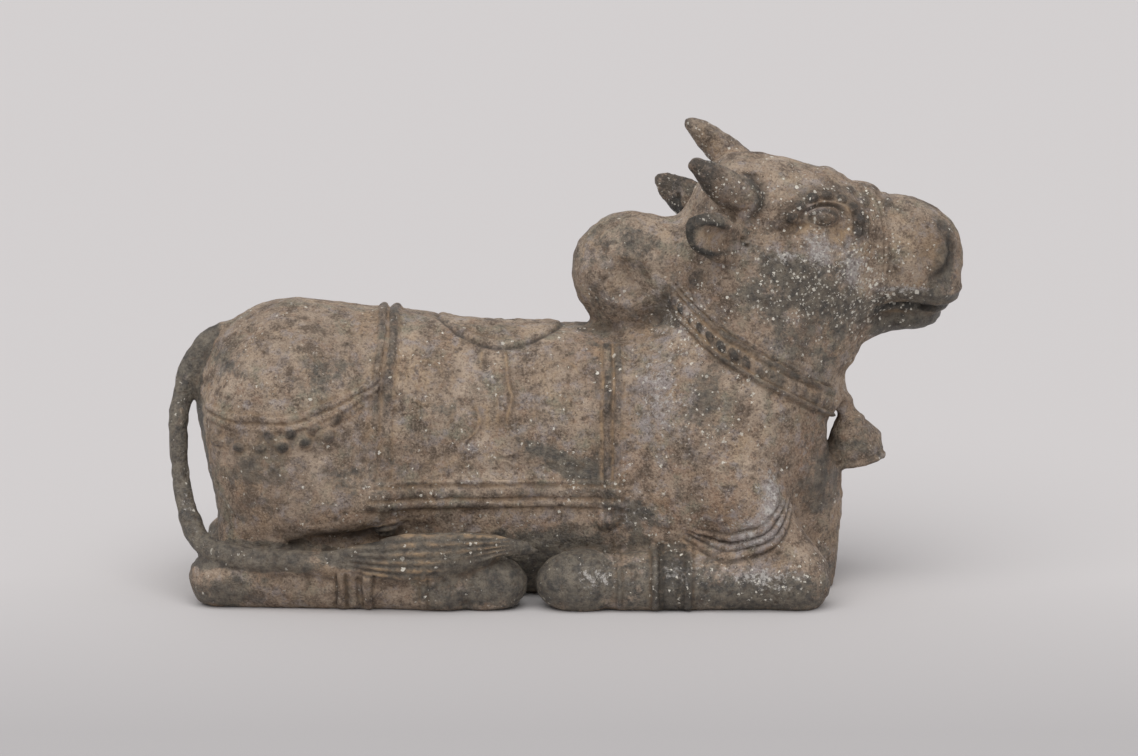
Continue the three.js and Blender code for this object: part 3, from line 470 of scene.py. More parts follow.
# A small hole at the root of the near ear
ear_root = np.hypot((hx - 21.2) / 0.35, (hz - 47.1) / 0.32)
ear_root = np.minimum(ear_root, np.hypot((hx - 21.7) / 0.28, (hz - 46.3) / 0.25))
lift -= (side_on > 7) * (y < 0) * 1.6 * np.exp(-(ear_root**2))
print("points on the ears:", int(ear.sum()))

# %% Horns
horn = rise(50.5, 52, hz) * rise(5.0, 5.8, side_on) * (hx < 24.5)
HORN_ROOT = (21.6, 52.2)
root = np.hypot((hx - HORN_ROOT[0]) / 2.1, (hz - HORN_ROOT[1]) / 2.5)
root_end = (side_on > 4.5) * rise(-0.4, 0.7, hx - HORN_ROOT[0])
lift += root_end * (0.35 * np.clip(1 - root**2, 0, 1) - 0.5 * dip((root - 1.12) * 2.1, 0.32))
lift += horn * 0.07 * np.sin((hx * -0.72 + hz * 0.7) * 4.2)
dark += horn * (0.35 + 0.6 * rise(17.5, 15.5, hx)) + 0.95 * root_end * dip((root - 0.85) * 2.1, 0.55)
print("points on the horns:", int((horn > 0.5).sum()))

# %% [markdown]
# ## The saddle cloth
# Three cords each frame the cloth at its rear edge, front edge and hem, and the innermost is the
# lowest. Inside, thin threads of wax draw a stem with petals between two scrolls. Earth lies along
# them, so they read light. The left side, which isn't seen, has the threads at less height.

# %% The cloth's borders
skin = (z > CLOTH_HEM - 1.4) & (x > -27) & (x < 9.5)
skin &= np.hypot(x - HUMP_MIDDLE[0], z - HUMP_MIDDLE[1]) > 8.4
rear = x - CLOTH_REAR - 0.06 * (z - 20) + waver
front = x - CLOTH_FRONT + 0.4 + waver * 0.6
hem = z - CLOTH_HEM + waver * 0.7
side = within(CLOTH_HEM - 0.9, 60, 0.3, z) * skin
long = within(CLOTH_REAR - 0.3, CLOTH_FRONT + 0.4, 0.4, x - 0.03 * (z - 20)) * skin
lower = 1 - 0.35 * rise(24, 21, z) * near
high_up = 0.35 + 0.65 * rise(23, 26, z)
beaded = 1 - 0.35 * rise(25, 23, z) * (1 + np.sin(z * 5.2))
uprights = cord(rear, 0.42) * beaded + 0.9 * high_up * cord(rear - 1.5, 0.55) + 0.3 * cord(rear - 3.0, 0.22)
clear = np.where(x > -1, rise(5.5, 7.0, away), 1)
fronts = 0.6 * cord(front + 2.7, 0.34) + 0.9 * cord(front + 1.25, 0.55) + 1.0 * cord(front, 0.46)
hems = cord(hem, 0.42) + 0.9 * cord(hem - 1.5, 0.6) + 0.3 * cord(hem - 2.9, 0.25)
lift += 0.5 * worn * np.maximum(side * (uprights * lower + clear * fronts), long * hems)
gaps = dip(rear - 0.75, 0.22) + dip(rear - 2.4, 0.25) + 0.6 * dip(rear + 0.7, 0.25)
gaps += clear * 1.4 * (dip(front + 0.62, 0.22) + dip(front + 2.0, 0.22) + 0.6 * dip(front - 0.7, 0.22))
hem_gaps = dip(hem - 0.7, 0.2) + dip(hem - 2.35, 0.25)
hem_gaps += 0.7 * dip(hem + 0.65, 0.25) + 0.5 * dip(hem - 3.2, 0.15)
above_hem = rise(16.2, 17, z)
lift -= 0.28 * (side * gaps * lower * above_hem + long * hem_gaps)
earth += 0.4 * (side * gaps * above_hem + long * hem_gaps)
dark += long * 0.4 * (cord(hem - 1.5, 0.6) + cord(hem, 0.42))
dark += side * above_hem * high_up * (0.75 * cord(rear - 1.5, 0.6) + 0.5 * cord(rear, 0.5))
broken = np.clip(0.85 + 0.6 * uneven(2.5, 31), 0, 1)
earth += side * clear * 0.3 * broken * (cord(front + 2.0, 0.25) + cord(front + 0.62, 0.2))
dark += side * clear * broken * (0.8 * cord(front + 1.25, 0.55) + 0.6 * cord(front, 0.5))
dark += side * clear * broken * 0.6 * cord(front + 2.7, 0.4)
print("points on the cloth:", int(skin.sum()))

# %% The drawing on the cloth
inside = within(-20.2, 2.6, 0.3, x) * within(17.2, 33.2, 0.4, z) * skin
STEM = -8.65
stem = x - STEM
SIDE_PETALS = (5.1, 9.3)
SCROLLS = ((-16.9, 1), (-0.5, -1))
flare = 2.0 + 0.28 * np.sin((z - 25) * 1.2) + 1.5 * rise(22.6, 20.6, z) - 0.8 * rise(29, 31.5, z)


# Stem, petals, scallops and scrolls, in lines of a given half width
def threads(half):
    lines = dip((np.abs(stem) - flare), half) * within(20.2, 31.6, 0.3, z)
    lines += dip(np.abs(stem + 0.1) - 0.62, half) * within(22.6, 27.4, 0.4, z) * 0.8
    lines += dip(z - 20.1 + 0.75 * np.abs(np.sin(stem * 0.95)), half) * (np.abs(stem) < 3.4)
    for aside in SIDE_PETALS:
        lines += dip(np.abs(stem) - aside, half) * within(23.7, 26.0, 0.3, z) * 0.8
    for place, hand in SCROLLS:
        su, sv = (x - place) * hand, z - 28.6
        reach = np.hypot(su, sv)
        turn = np.arctan2(sv, su) / (2 * np.pi)
        lines += 0.6 * dip(((reach / 1.3 - turn) % 1 - 0.5) * 1.3, half) * within(0.5, 3.4, 0.2, reach)
    lines += 0.6 * dip(z - 17.9 - 0.8 * np.abs(np.sin(x * 1.05)), half)
    return np.clip(lines * inside * (0.45 + 0.55 * near) * kept, 0, 1)


kept = np.clip(0.85 + 0.5 * uneven(3, 5), 0.2, 1.2)
lines, flanks = threads(0.2), threads(0.48)
lift += 0.35 * lines - 0.2 * (flanks - lines)
earth += 0.75 * lines
dark += 0.3 * (flanks - lines)
print("threads cover", round(float((lines > 0.3).mean()) * 100, 2), "% of the points")

# %% The medallion on the back
from_middle = np.hypot(x - MEDALLION[0], y)
disc = np.hypot(from_middle, z - MEDALLION[1])
on_disc = (z > 29) & (disc < 9.5)
turn = np.arctan2(y, x - MEDALLION[0])
petals = np.abs(np.cos(6 * turn))
lift -= on_disc * 0.5 * dip(disc - MEDALLION[2] - 0.1, 0.25)
lift += on_disc * 0.15 * cord(disc - MEDALLION[2] + 0.6, 0.4)
lift -= on_disc * 0.22 * dip(disc - MEDALLION[2] + 1.25, 0.2)
lift += on_disc * 0.3 * petals * within(2.4, 5.9, 0.6, disc) - on_disc * 0.3 * dip(disc - 2.0, 0.2)
dark += on_disc * 0.8 * dip(disc - MEDALLION[2] - 0.1, 0.3)
earth += on_disc * 0.3 * dip(disc - MEDALLION[2] + 1.25, 0.25)
earth += on_disc * 0.25 * within(2.4, 5.9, 0.6, disc) * rise(0.5, 0.1, petals)
print("medallion", round(2 * MEDALLION[2] * UNIT / MM, 1), "mm across")

# %% [markdown]
# ## The crupper, the tassels and the tail
# Two cords sag round the rump, with pellets in two rows under them. The tail is a plain rope, and
# its tuft is combed: grooves run along it and close up where it narrows.

# %% Crupper and tassels
rump = (x < CLOTH_REAR + 1) & (x > -44.6) & (z > 14) & (z < 32)
drop = z - swag_line(x) + waver
lift += rump * 0.45 * worn * (cord(drop, 0.45) + 0.8 * cord(drop + 1.15, 0.42))
lift -= rump * 0.3 * (dip(drop + 0.58, 0.18) + 0.7 * dip(drop - 0.65, 0.25) + 0.5 * dip(drop + 1.8, 0.2))
earth += rump * 0.35 * (dip(drop + 0.58, 0.2) + dip(drop - 0.65, 0.3))
# Where each row of pellets starts, how far under the cords, and how many
PELLET_ROWS = ((-43, 3.6, 6), (-36.4, 2.0, 4))
PELLET_PITCH = 2.8
for first, under, count in PELLET_ROWS:
    step = (x - first) / PELLET_PITCH
    phase = (step + 0.5) % 1 - 0.5
    on = (step > -0.5) & (step < count - 0.5)
    pellet = dome(phase * PELLET_PITCH / 0.85, (drop + under) / 0.72) * on * rump
    lift += 0.7 * pellet * worn
    dark += 1.1 * pellet * np.clip(0.9 + 0.4 * uneven(4, 21), 0, 1)
    earth += 0.25 * rump * on * dip(np.hypot(phase * PELLET_PITCH, drop + under) - 1.0, 0.3)
TASSELS = ((-22.2, 11.6), (5.5, 11.5))
for tx, tz in TASSELS:
    tassel = dome((x - tx) / 1.7, (z - tz) / 1.5) * (away > 9) * (z > 9)
    lift += tassel * (0.5 + 0.22 * np.sin((x - tx) * 6))
print("pellets on each side:", sum(count for _, _, count in PELLET_ROWS))

# %% The combed tuft
tuft_side = (y < -12) & (x > -30) & (x < -2) & (z > 4.4) & (z < 13.2)
spine = 8.3 + 0.35 * np.sin((x + 12) * 0.16) + 0.02 * (x + 16)
TUFT_AT = (-29, -24, -20, -16, -12, -7.7, -3.3)
TUFT_HALF = (1.3, 2.2, 2.8, 3.0, 2.6, 1.6, 0.8)
half = np.interp(x, TUFT_AT, TUFT_HALF)
comb = (z - spine) / half
strength = np.clip(0.7 + 0.6 * uneven(5, 10), 0, 1)
hair = np.sin(comb * 17 + 0.9 * np.sin(x * 0.35) + 0.8 * uneven(4, 9)) * strength
tuft = tuft_side * within(-26, -9, 3.5, x) * (np.abs(comb) < 1.25)
lift += tuft * 0.25 * hair
earth += tuft * 1.6 * rise(0.0, 0.7, hair) * np.clip(0.5 + uneven(5, 22), 0, 1)
dark += tuft * 0.5 * rise(-0.1, -0.8, hair)
print("tuft points:", int(tuft.sum()))

# %% [markdown]
# ## Legs, breast and bell
# The shanks have rings and the hoofs a cleft. Three twisted strands make the armlet at each elbow.
# The right shoulder has a fold, the hump a dent on each side, and the bell a rim and a shoulder
# line.

# %% Rings and hoofs
shank = (z < 8.4) & (away > 8.5)
tucked = np.where((x < 0) & (y < 0), rise(5.9, 5.0, z), 1)
# Rings: place along the leg, half width and height
RINGS = ((-27.6, 0.55, 0.75), (-26.0, 0.6, 0.55), (-24.1, 0.6, 0.75), (-17.2, 0.4, 0.4))
RINGS += ((6.9, 0.3, 0.3), (11.4, 0.45, 0.5), (13.4, 0.9, 0.3), (15.6, 0.5, 0.5))
for ring_x, half, high in RINGS:
    lift += shank * tucked * high * worn * cord(x - ring_x + waver, half)
    lift -= shank * tucked * 0.6 * high * dip(np.abs(x - ring_x + waver) - half - 0.1, 0.2)
    earth += shank * tucked * 0.3 * dip(np.abs(x - ring_x) - half - 0.15, 0.25)
    dark += shank * tucked * 0.45 * dip(np.abs(x - ring_x + waver) - half - 0.1, 0.25)
dark += shank * within(11.8, 15.4, 0.5, x) * 0.55
hoofs = ((x > -8.5) & (x < 1.2)) * (z < 8) * (away > 9.5)
lift -= hoofs * 0.7 * dip(away - 13.8, 0.3) * rise(6.6, 5.2, z)
print("rings:", len(RINGS))

# %% Armlets
elbow = (away > 10) & (x > 12)
ARMLET, ARMLET_REACH = (20.4, 16.4), 8.1
STRANDS, STRAND_GAPS = (-1.15, -0.1, 0.95), (-1.8, -0.62, 0.43, 1.6)
angle = np.arctan2(z - ARMLET[1], x - ARMLET[0])
reach = np.hypot(x - ARMLET[0], z - ARMLET[1])
narrowing = 1 - 0.4 * np.clip(np.abs(angle + 1.25) / 0.85, 0, 1) ** 2
strand = (reach - ARMLET_REACH + 0.12 * np.sin(angle * 9)) / narrowing
armlet = elbow * within(-2.05, -0.5, 0.25, angle)
for middle in STRANDS:
    twist = 0.8 + 0.2 * np.sin(angle * 34 + middle * 3)
    lift += armlet * 0.7 * cord(strand - middle, 0.5) * twist
    dark -= armlet * 0.3 * cord(strand - middle, 0.4)
for gap in STRAND_GAPS:
    lift -= armlet * 0.4 * dip(strand - gap, 0.22)
    dark += armlet * 0.5 * dip(strand - gap, 0.3)
print("armlet's reach:", round(ARMLET_REACH * UNIT / MM, 1), "mm")

# %% The shoulder's fold, the hump's dents and the bell
FOLD = ((25.0, 17.6), (26.3, 15.4), (26.2, 12.6))
lift += elbow * (y < 0) * 0.5 * dip(stroke(FOLD, x, z), 0.5)
DENT, DENT_REACH = (8.0, 40.4), 3.1
hump_dent = np.hypot((x - DENT[0]) / DENT_REACH, (z - DENT[1]) / DENT_REACH)
lift -= (away > 4) * (z > 36) * 0.9 * rise(1.05, 0.7, hump_dent)
CROWN, BELL_LEAN = (36.0, 22.9), 0.2
down = ((x - CROWN[0]) * BELL_LEAN - (z - CROWN[1])) / np.hypot(1, BELL_LEAN)
on_bell = (x > 34.6) & (z < 24) & (z > 14) & (away < 5)
lift += on_bell * 0.25 * (cord(down - 6.5, 0.3) + 0.7 * cord(down - 1.2, 0.3))
lift -= on_bell * 0.2 * (dip(down - 5.9, 0.2) + dip(down - 1.8, 0.2))
dark += on_bell * 0.1
print("points on the bell:", int(on_bell.sum()))

# %% [markdown]
# ## An uneven skin
# Wax is pushed by thumbs, so the broad faces are slightly lumpy. The metal has pits where gas or
# grit sat in the mould. The pits are few and each is set by itself, because an even texture would
# look machined.

# %% Lumps and pits
lift += 0.3 * uneven(9, 3) + 0.15 * uneven(3.2, 4) + 0.1 * uneven(1.3, 6) + 0.07 * uneven(0.8, 8)
PITS, PIT_SEED, PIT_DEPTH = 700, 12, 0.55
spread = np.random.default_rng(PIT_SEED)
normals = normals_of(bull)
order = np.argsort(points[:, 0])
along = points[order, 0]
for index in spread.integers(0, len(points), PITS):
    size = (0.35 + 0.75 * spread.random() ** 3) * MM
    low, high = np.searchsorted(along, (points[index, 0] - 3 * size, points[index, 0] + 3 * size))
    close_by = order[low:high]
    depth = np.exp(-((np.linalg.norm(points[close_by] - points[index], axis=1) / size) ** 2))
    lift[close_by] -= PIT_DEPTH * size / MM * depth
    dark[close_by] += 0.5 * depth
print("pits:", PITS)

# %% [markdown]
# ## Where the patina changes
# The photograph shows four skins besides the brown one: slate-dark metal on the parts that were
# handled or lay in the ground, lime specks that are dense on the head and legs, lilac-grey bloom
# on the shoulder and under the eye, and redder brown low on the flank. Grime darkens rump, breast
# and muzzle. Its list also darkens thigh and hump, paints shade into the hollow between thigh, tail
# and belly, and darkens the lower hind leg as grime and painted shade. All are sums of soft patches,
# which can be read and moved in the lists. Patches over hx and hz lie on the head, and those over x
# and z on the body.


# %% Where slate lies
# A soft oval, 1 in its middle
def patch(across, up, cx, cz, rx, rz, lean=0):
    du, dv = turned(across - cx, up - cz, lean)
    return np.exp(-((du / rx) ** 2) - (dv / rz) ** 2)


LEFT_SHIFT = (3.5, -1.5)
left = 1 - near


# A sum of patches, each its strength, place, half sizes and lean. On the left they lie elsewhere.
def patches(across, up, places):
    total = np.zeros(len(points))
    for strength, *place in places:
        total += strength * patch(across + LEFT_SHIFT[0] * left, up + LEFT_SHIFT[1] * left, *place)
    return total


TAIL_BEHIND = ((0, 33), (-0.6, 31.2), (-2.2, 27.4), (-4.2, 22.6), (-6, 17), (-8.4, 12.2), (-11.5, 7.5))
on_tail = rise(-42.5, -44.5, x) * rise(2.8, 1.7, stroke(TAIL_BEHIND, y, z))
on_tail += tuft_side * rise(0.2, -0.6, np.abs(comb) - 1.15)
on_tail += rise(-29, -33, x) * rise(5.2, 6.0, z) * rise(9.2, 8.4, z) * (y < -11)
slate = 0.75 * np.clip(on_tail, 0, 1)
slate += 0.9 * within(33, 38.2, 0.5, hz) * rise(38, 40, hx)
slate += patches(hx, hz, (
    (1.0, 27, 42.5, 5, 2.4, -30), (0.7, 34, 37.5, 6, 2.8, -15), (0.6, 48.5, 44, 1.8, 3.5),
    (1.0, 47.6, 42.2, 1.2, 2.2), (0.6, 22.5, 40, 2.5, 1.5, -30), (0.3, 33, 43, 3, 4),
    (0.8, 44, 38.9, 4.5, 0.9), (0.4, 25, 37, 4, 2, -30), (0.45, 21.5, 47.5, 1.6, 2.5)))
slate += 0.55 * ear * (z < 50) * within(0.7, 1.25, 0.1, leaf) * rise(2.5, 0.5, leaf_u)
slate += patches(x, z, (
    (0.7, -6, 4, 5, 4), (0.9, 3, 4, 5, 4), (0.85, -1.5, 19.2, 5.5, 1.3, -27), (0.75, 3, 17.3, 2.5, 2),
    (0.45, 8.6, 45, 6, 2.5), (0.35, 5, 34, 3, 5), (0.4, -24, 17, 7, 4), (0.2, 33, 15, 3, 8),
    (0.85, 13, 4, 4, 4.5), (1.0, 24, 2.5, 9, 3), (0.6, -42, 2.5, 6, 3), (0.6, -14, 3, 5, 3),
    (0.6, 13, 36.5, 2.5, 3), (0.45, -41, 30, 3, 2), (0.45, -34, 22, 3, 1.5), (0.6, 9, 12, 3, 3),
    (0.35, 32, 14, 2.5, 3), (0.35, -38, 18, 4, 2.5), (0.4, -30, 29, 3, 2), (0.45, 17, 25, 3, 4, 30),
    (0.5, 0, 9, 6, 2), (0.5, -14, 25, 3, 1.5), (0.2, -38, 16, 7, 5), (0.15, 7, 39, 7, 6),
    (0.2, 32, 20, 3, 6), (0.6, -4, 6, 5, 3), (0.3, -30, 31, 5, 2),
    (0.35, 27, 31, 3, 4), (0.45, 20, 31, 2.5, 4), (0.4, 33, 31, 2.5, 3), (0.35, 38, 17.5, 3, 4)))
print("slate:", round(float(slate.mean()), 2))

# %% Lime, bloom, rust and grime
lime = patches(hx, hz, (
    (1.1, 31, 40.5, 8, 4), (0.8, 37, 38.5, 5, 5), (0.4, 26, 51, 7, 3), (0.5, 37, 46, 3, 5),
    (0.7, 42, 39.4, 4, 0.7), (0.4, 18, 46, 3, 2), (0.5, 17, 53, 3, 2)))
lime += patches(x, z, (
    (0.5, 16, 35, 3, 4), (0.2, 17, 25, 6, 5), (0.3, 26, 5, 6, 3), (0.25, 13, 4, 4, 3),
    (0.25, 2, 17, 4, 2), (0.12, -20, 14, 8, 3), (0.2, -10, 9, 5, 2), (0.2, 10, 14, 5, 3)))
bloom = patches(hx, hz, (
    (1.1, 30.5, 45.5, 2, 2.5), (0.9, 35, 43, 2, 4), (0.9, 25.5, 45, 2, 1.2), (1.2, 42, 39.6, 4, 0.5)))
bloom += 0.5 * armlet * np.clip(1 - np.abs(strand / 1.6), 0, 1)
bloom += patches(x, z, (
    (0.7, 12, 27, 4, 6), (0.6, 15, 37, 3, 3), (0.8, 25.8, 15, 1.6, 3.5), (0.7, 23, 11, 3, 2, 30),
    (1.0, 25, 4.8, 5, 1.6), (0.8, 14, 5.5, 4, 1.5), (0.8, 4, 5, 3, 2), (0.6, 8, 12, 3, 2),
    (0.5, -46.5, 14, 2, 5), (0.6, -12, 20.5, 2, 1)))
rust = patches(x, z, (
    (1.0, 16, 13, 9, 5), (1.0, 31, 18, 5, 8), (0.6, -8, 10.5, 16, 2.5), (0.5, 22, 37, 3, 5),
    (0.6, -38, 14, 8, 5), (0.6, 8, 20, 3, 6), (0.5, -36, 30, 6, 2), (0.5, 3, 31, 3, 5)))
# Grime, and painted shade: the second patch paints shade into the hollow between thigh, tail and belly, and
# the first darkens the lower hind leg as grime and painted shade
grime_and_shade = patches(x, z, (
    (0.7, -33, 4, 13, 4), (1.5, -27, 9.8, 8, 0.9), (1.1, -36, 16, 8, 6), (0.6, 8, 40, 6, 4),
    (0.7, 31, 15, 4, 9), (0.6, -34, 33, 9, 3), (0.4, 17, 27, 4, 5), (0.35, 8, 24, 3, 8)))
# Painted shade: a dark stroke in the hollow under the near flank, and a dark slit in the gap between bell
# and breast
dark += 0.7 * near * patch(x, z, -27, 9.7, 7, 0.7) + 0.8 * patch(x, z, 33.4, 17.5, 0.8, 3.5)
grime_and_shade += patches(hx, hz, (
    (0.6, 44, 44, 6, 6), (0.5, 31, 50, 7, 4), (0.25, 30, 40, 9, 5), (0.5, 16, 55, 5, 5)))
print("lime, bloom, rust, grime:", [round(float(v.mean()), 2) for v in (lime, bloom, rust, grime_and_shade)])

# %% Raise the relief
# The flat underside stays as it is
free = rise(0.4, 1.2, z)
points = points + normals * (lift * free * MM)[:, None]
write(bull, points)
print("height of the relief, mm:", round(float(lift.min()), 2), round(float(lift.max()), 2))

# %% [markdown]
# ## What the finish needs to know
# Dirt settles in hollows, and hands rub what stands out. Both come from the form: each point is
# compared with a smoothed copy of the skin, once closely and once broadly. The result is kept on
# the points, where the material reads it, and it stays with them when the net is thinned.

# %% Hollows and ridges, kept on the points
CLOSE_REACH = 12
close = ((relaxed(points, links, CLOSE_REACH) - points) * normals_of(bull)).sum(1) / MM
wide = np.empty(len(points), dtype=np.float32)
bull.data.attributes["wide"].data.foreach_get("value", wide)
# The hollow mask also takes the grime patches, and with them their painted shade
hollow = rise(0.0, 0.16, close) * 0.75 + rise(0.3, 1.4, wide) * 0.7 + 0.6 * grime_and_shade
ridge = rise(0.0, 0.16, -close) * 0.6 + rise(0.1, 0.9, -wide) * 0.5
masks = {"hollow": hollow, "ridge": ridge, "earth": earth, "dark": dark}
masks.update(slate=slate, lime=lime, bloom=bloom, rust=rust)
for name, values in masks.items():
    keep(name, np.clip(values, 0, 1))
bull.data.attributes.remove(bull.data.attributes["wide"])
print("hollow", round(float(hollow.mean()), 3), "ridge", round(float(ridge.mean()), 3))

# %% Thin the net
TRIANGLES = 190000
apply(bull, "DECIMATE", ratio=TRIANGLES / (2 * len(bull.data.polygons)), use_collapse_triangulate=True)
bull.data.shade_smooth()
print("triangles:", len(bull.data.polygons))

# %% [markdown]
# ## The finish of an old bronze
# A real patina has layers: mottled brown metal, lilac bloom and a slate crust on it, dark grain and
# pits, grime and ochre earth in what is hollow, dark polish where hands rubbed it, and lime crumbs.
# Painted shade goes in with the grime and with the dark polish.
# The material is built in that order. The masks on the points say where each lies, and noise on
# Object coordinates breaks them up, so that no border is clean. A painted image could do this too,
# but it would be fixed to one resolution.


# %% Small helpers for nodes
# Gives a socket a link or a plain value
def feed(tree, socket, value):
    if hasattr(value, "links"):
        tree.links.new(value, socket)
    else:
        socket.default_value = value


def add(tree, kind, **inputs):
    made = tree.nodes.new("ShaderNode" + kind)
    for name, value in inputs.items():
        feed(tree, made.inputs[name.replace("_", " ")], value)
    return made


# Two values joined by a Math node, kept from 0 to 1 unless limit is off
def math(tree, operation, first, second, limit=True):
    made = tree.nodes.new("ShaderNodeMath")
    made.operation = operation
    made.use_clamp = limit
    feed(tree, made.inputs[0], first)
    feed(tree, made.inputs[1], second)
    return made.outputs[0]


# Two values added, without a limit
def plus(tree, first, second):
    return math(tree, "ADD", first, second, limit=False)


# A mask from a value: 0 below low, 1 above high
def ramp(tree, value, low, high, most=1.0):
    made = add(tree, "MapRange", Value=value, From_Min=low, From_Max=high, To_Max=most)
    return made.outputs["Result"]


# One colour over another, where the mask is 1
def mix(tree, mask, under, over):
    made = tree.nodes.new("ShaderNodeMix")
    made.data_type = "RGBA"
    for name, value in (("Factor", mask), ("A", under), ("B", over)):
        feed(tree, next(s for s in made.inputs if s.name == name and s.enabled), value)
    return next(s for s in made.outputs if s.enabled)


# A mask that was kept on the points
def mask_on(tree, name):
    made = tree.nodes.new("ShaderNodeAttribute")
    made.attribute_name = name
    return made.outputs["Fac"]


# A new material with its Principled BSDF
def started(name, roughness):
    material = bpy.data.materials.new(name)
    material.use_nodes = True
    shader = material.node_tree.nodes["Principled BSDF"]
    shader.inputs["Roughness"].default_value = roughness
    return material, material.node_tree, shader


print("helpers: feed, add, math, plus, ramp, mix, mask_on, started")


# %% Clouds and spots
# Noise whose lumps are about size across, from 0 to 1
def clouds(tree, size, detail=3.0, rough=0.55, shift=0.0):
    place = add(tree, "TexCoord").outputs["Object"]
    moved = add(tree, "Mapping", Vector=place, Location=(shift, shift * 0.7, -shift)).outputs[0]
    return add(tree, "TexNoise", Vector=moved, Scale=1 / size, Detail=detail, Roughness=rough).outputs["Fac"]


BEND = 0.0012


# Object coordinates bent a little by noise, so that cells lose their even shapes
def bent_place(tree, size, shift):
    place = add(tree, "TexCoord").outputs["Object"]
    moved = add(tree, "Mapping", Vector=place, Location=(shift, -shift, shift)).outputs[0]
    wobble = add(tree, "TexNoise", Vector=moved, Scale=2.4 / size, Detail=2.0).outputs["Color"]
    bent = tree.nodes.new("ShaderNodeMix")
    bent.data_type = "VECTOR"
    bent.inputs["Factor"].default_value = BEND
    from_place, from_noise = [s for s in bent.inputs if s.name in ("A", "B") and s.enabled]
    tree.links.new(moved, from_place)
    tree.links.new(wobble, from_noise)
    return next(s for s in bent.outputs if s.enabled)


# Spots in some cells of a random pattern: where need is larger, more cells have one
def spots(tree, need, size, radius, shift):
    cells = add(tree, "TexVoronoi", Vector=bent_place(tree, size, shift), Scale=1 / size)
    pick = add(tree, "SeparateColor", Color=cells.outputs["Color"])
    allowed = ramp(tree, plus(tree, need, pick.outputs["Red"]), 1.0, 1.04)
    spread = add(tree, "MapRange", Value=pick.outputs["Green"], To_Min=radius * 0.4, To_Max=radius)
    inside = math(tree, "LESS_THAN", cells.outputs["Distance"], spread.outputs["Result"], limit=False)
    pale = add(tree, "MapRange", Value=pick.outputs["Blue"], To_Min=0.45).outputs["Result"]
    return math(tree, "MULTIPLY", math(tree, "MULTIPLY", inside, allowed), pale)


print("share of noise in a bent place:", BEND)

# %% The bronze's colours, from deepest to palest
BLACK = (0.024, 0.023, 0.021, 1)
PIT = (0.05, 0.032, 0.022, 1)
SLATE = (0.06, 0.057, 0.053, 1)
DEEP_BROWN = (0.1, 0.07, 0.05, 1)
OLIVE = (0.21, 0.182, 0.142, 1)
RUST = (0.3, 0.19, 0.125, 1)
BROWN = (0.29, 0.212, 0.152, 1)
GREEN_GREY = (0.235, 0.228, 0.17, 1)
LILAC = (0.36, 0.325, 0.325, 1)
OCHRE = (0.46, 0.315, 0.185, 1)
TAN = (0.5, 0.392, 0.3, 1)
CHALK = (0.56, 0.53, 0.5, 1)
CREAM = (0.78, 0.74, 0.65, 1)
print("green of the palest over the deepest:", round(CREAM[1] / BLACK[1]))

# %% The metal and its crusts
# Clouds on the metal: size in metres, shift, where each starts and is full, most, and tint
MOTTLES = (
    (0.01, 1.9, 0.5, 0.66, 0.5, OCHRE), (0.009, 0.9, 0.52, 0.64, 0.75, GREEN_GREY),
    (0.0034, 3.7, 0.52, 0.62, 0.6, RUST), (0.004, 4.3, 0.53, 0.63, 0.6, LILAC),
    (0.0065, 0.3, 0.5, 0.36, 0.85, DEEP_BROWN), (0.0028, 5.1, 0.45, 0.35, 0.7, DEEP_BROWN))


# The brown metal, mottled by clouds of many sizes, rusty where the mask says
def mottled_metal(tree, rusts, fine):
    colour = mix(tree, ramp(tree, clouds(tree, 0.016), 0.38, 0.6), BROWN, TAN)
    rust = math(tree, "MULTIPLY", rusts, ramp(tree, clouds(tree, 0.006), 0.3, 0.6))
    colour = mix(tree, rust, colour, RUST)
    for size, shift, low, high, most, tint in MOTTLES:
        cloud = clouds(tree, size, detail=6, rough=0.64, shift=shift)
        colour = mix(tree, ramp(tree, cloud, low, high, most), colour, tint)
    return mix(tree, ramp(tree, fine, 0.5, 0.66, 0.6), colour, TAN)


# Lilac bloom, slate and flakes of chalk, with torn edges. Also gives the slate's mask.
def crusts(tree, colour, blooms, slates):
    torn = clouds(tree, 0.004, detail=7, rough=0.72, shift=1.1)
    thick = plus(tree, torn, math(tree, "MULTIPLY", blooms, 0.3))
    colour = mix(tree, ramp(tree, thick, 0.58, 0.76, 0.75), colour, LILAC)
    ragged = clouds(tree, 0.005, detail=8, rough=0.76, shift=1.5)
    much = add(tree, "MapRange", Value=slates, To_Min=-0.21, To_Max=0.2).outputs["Result"]
    slate = ramp(tree, plus(tree, much, ragged), 0.38, 0.52, 0.95)
    tone = ramp(tree, clouds(tree, 0.0025, detail=6, rough=0.7, shift=0.7), 0.38, 0.6)
    colour = mix(tree, slate, colour, mix(tree, tone, SLATE, OLIVE))
    flaking = clouds(tree, 0.0016, detail=6, rough=0.75, shift=2.6)
    flakes = plus(tree, flaking, math(tree, "MULTIPLY", blooms, 0.2))
    return mix(tree, ramp(tree, flakes, 0.65, 0.73, 0.85), colour, CHALK), slate


print("clouds on the metal:", len(MOTTLES))

# %% The bronze itself
# Lime crumbs: size of a cell in metres, largest crumb in a cell, and a shift
CRUMBS = ((0.0023, 0.27, 0.0), (0.0014, 0.33, 0.37), (0.0009, 0.4, 0.61))


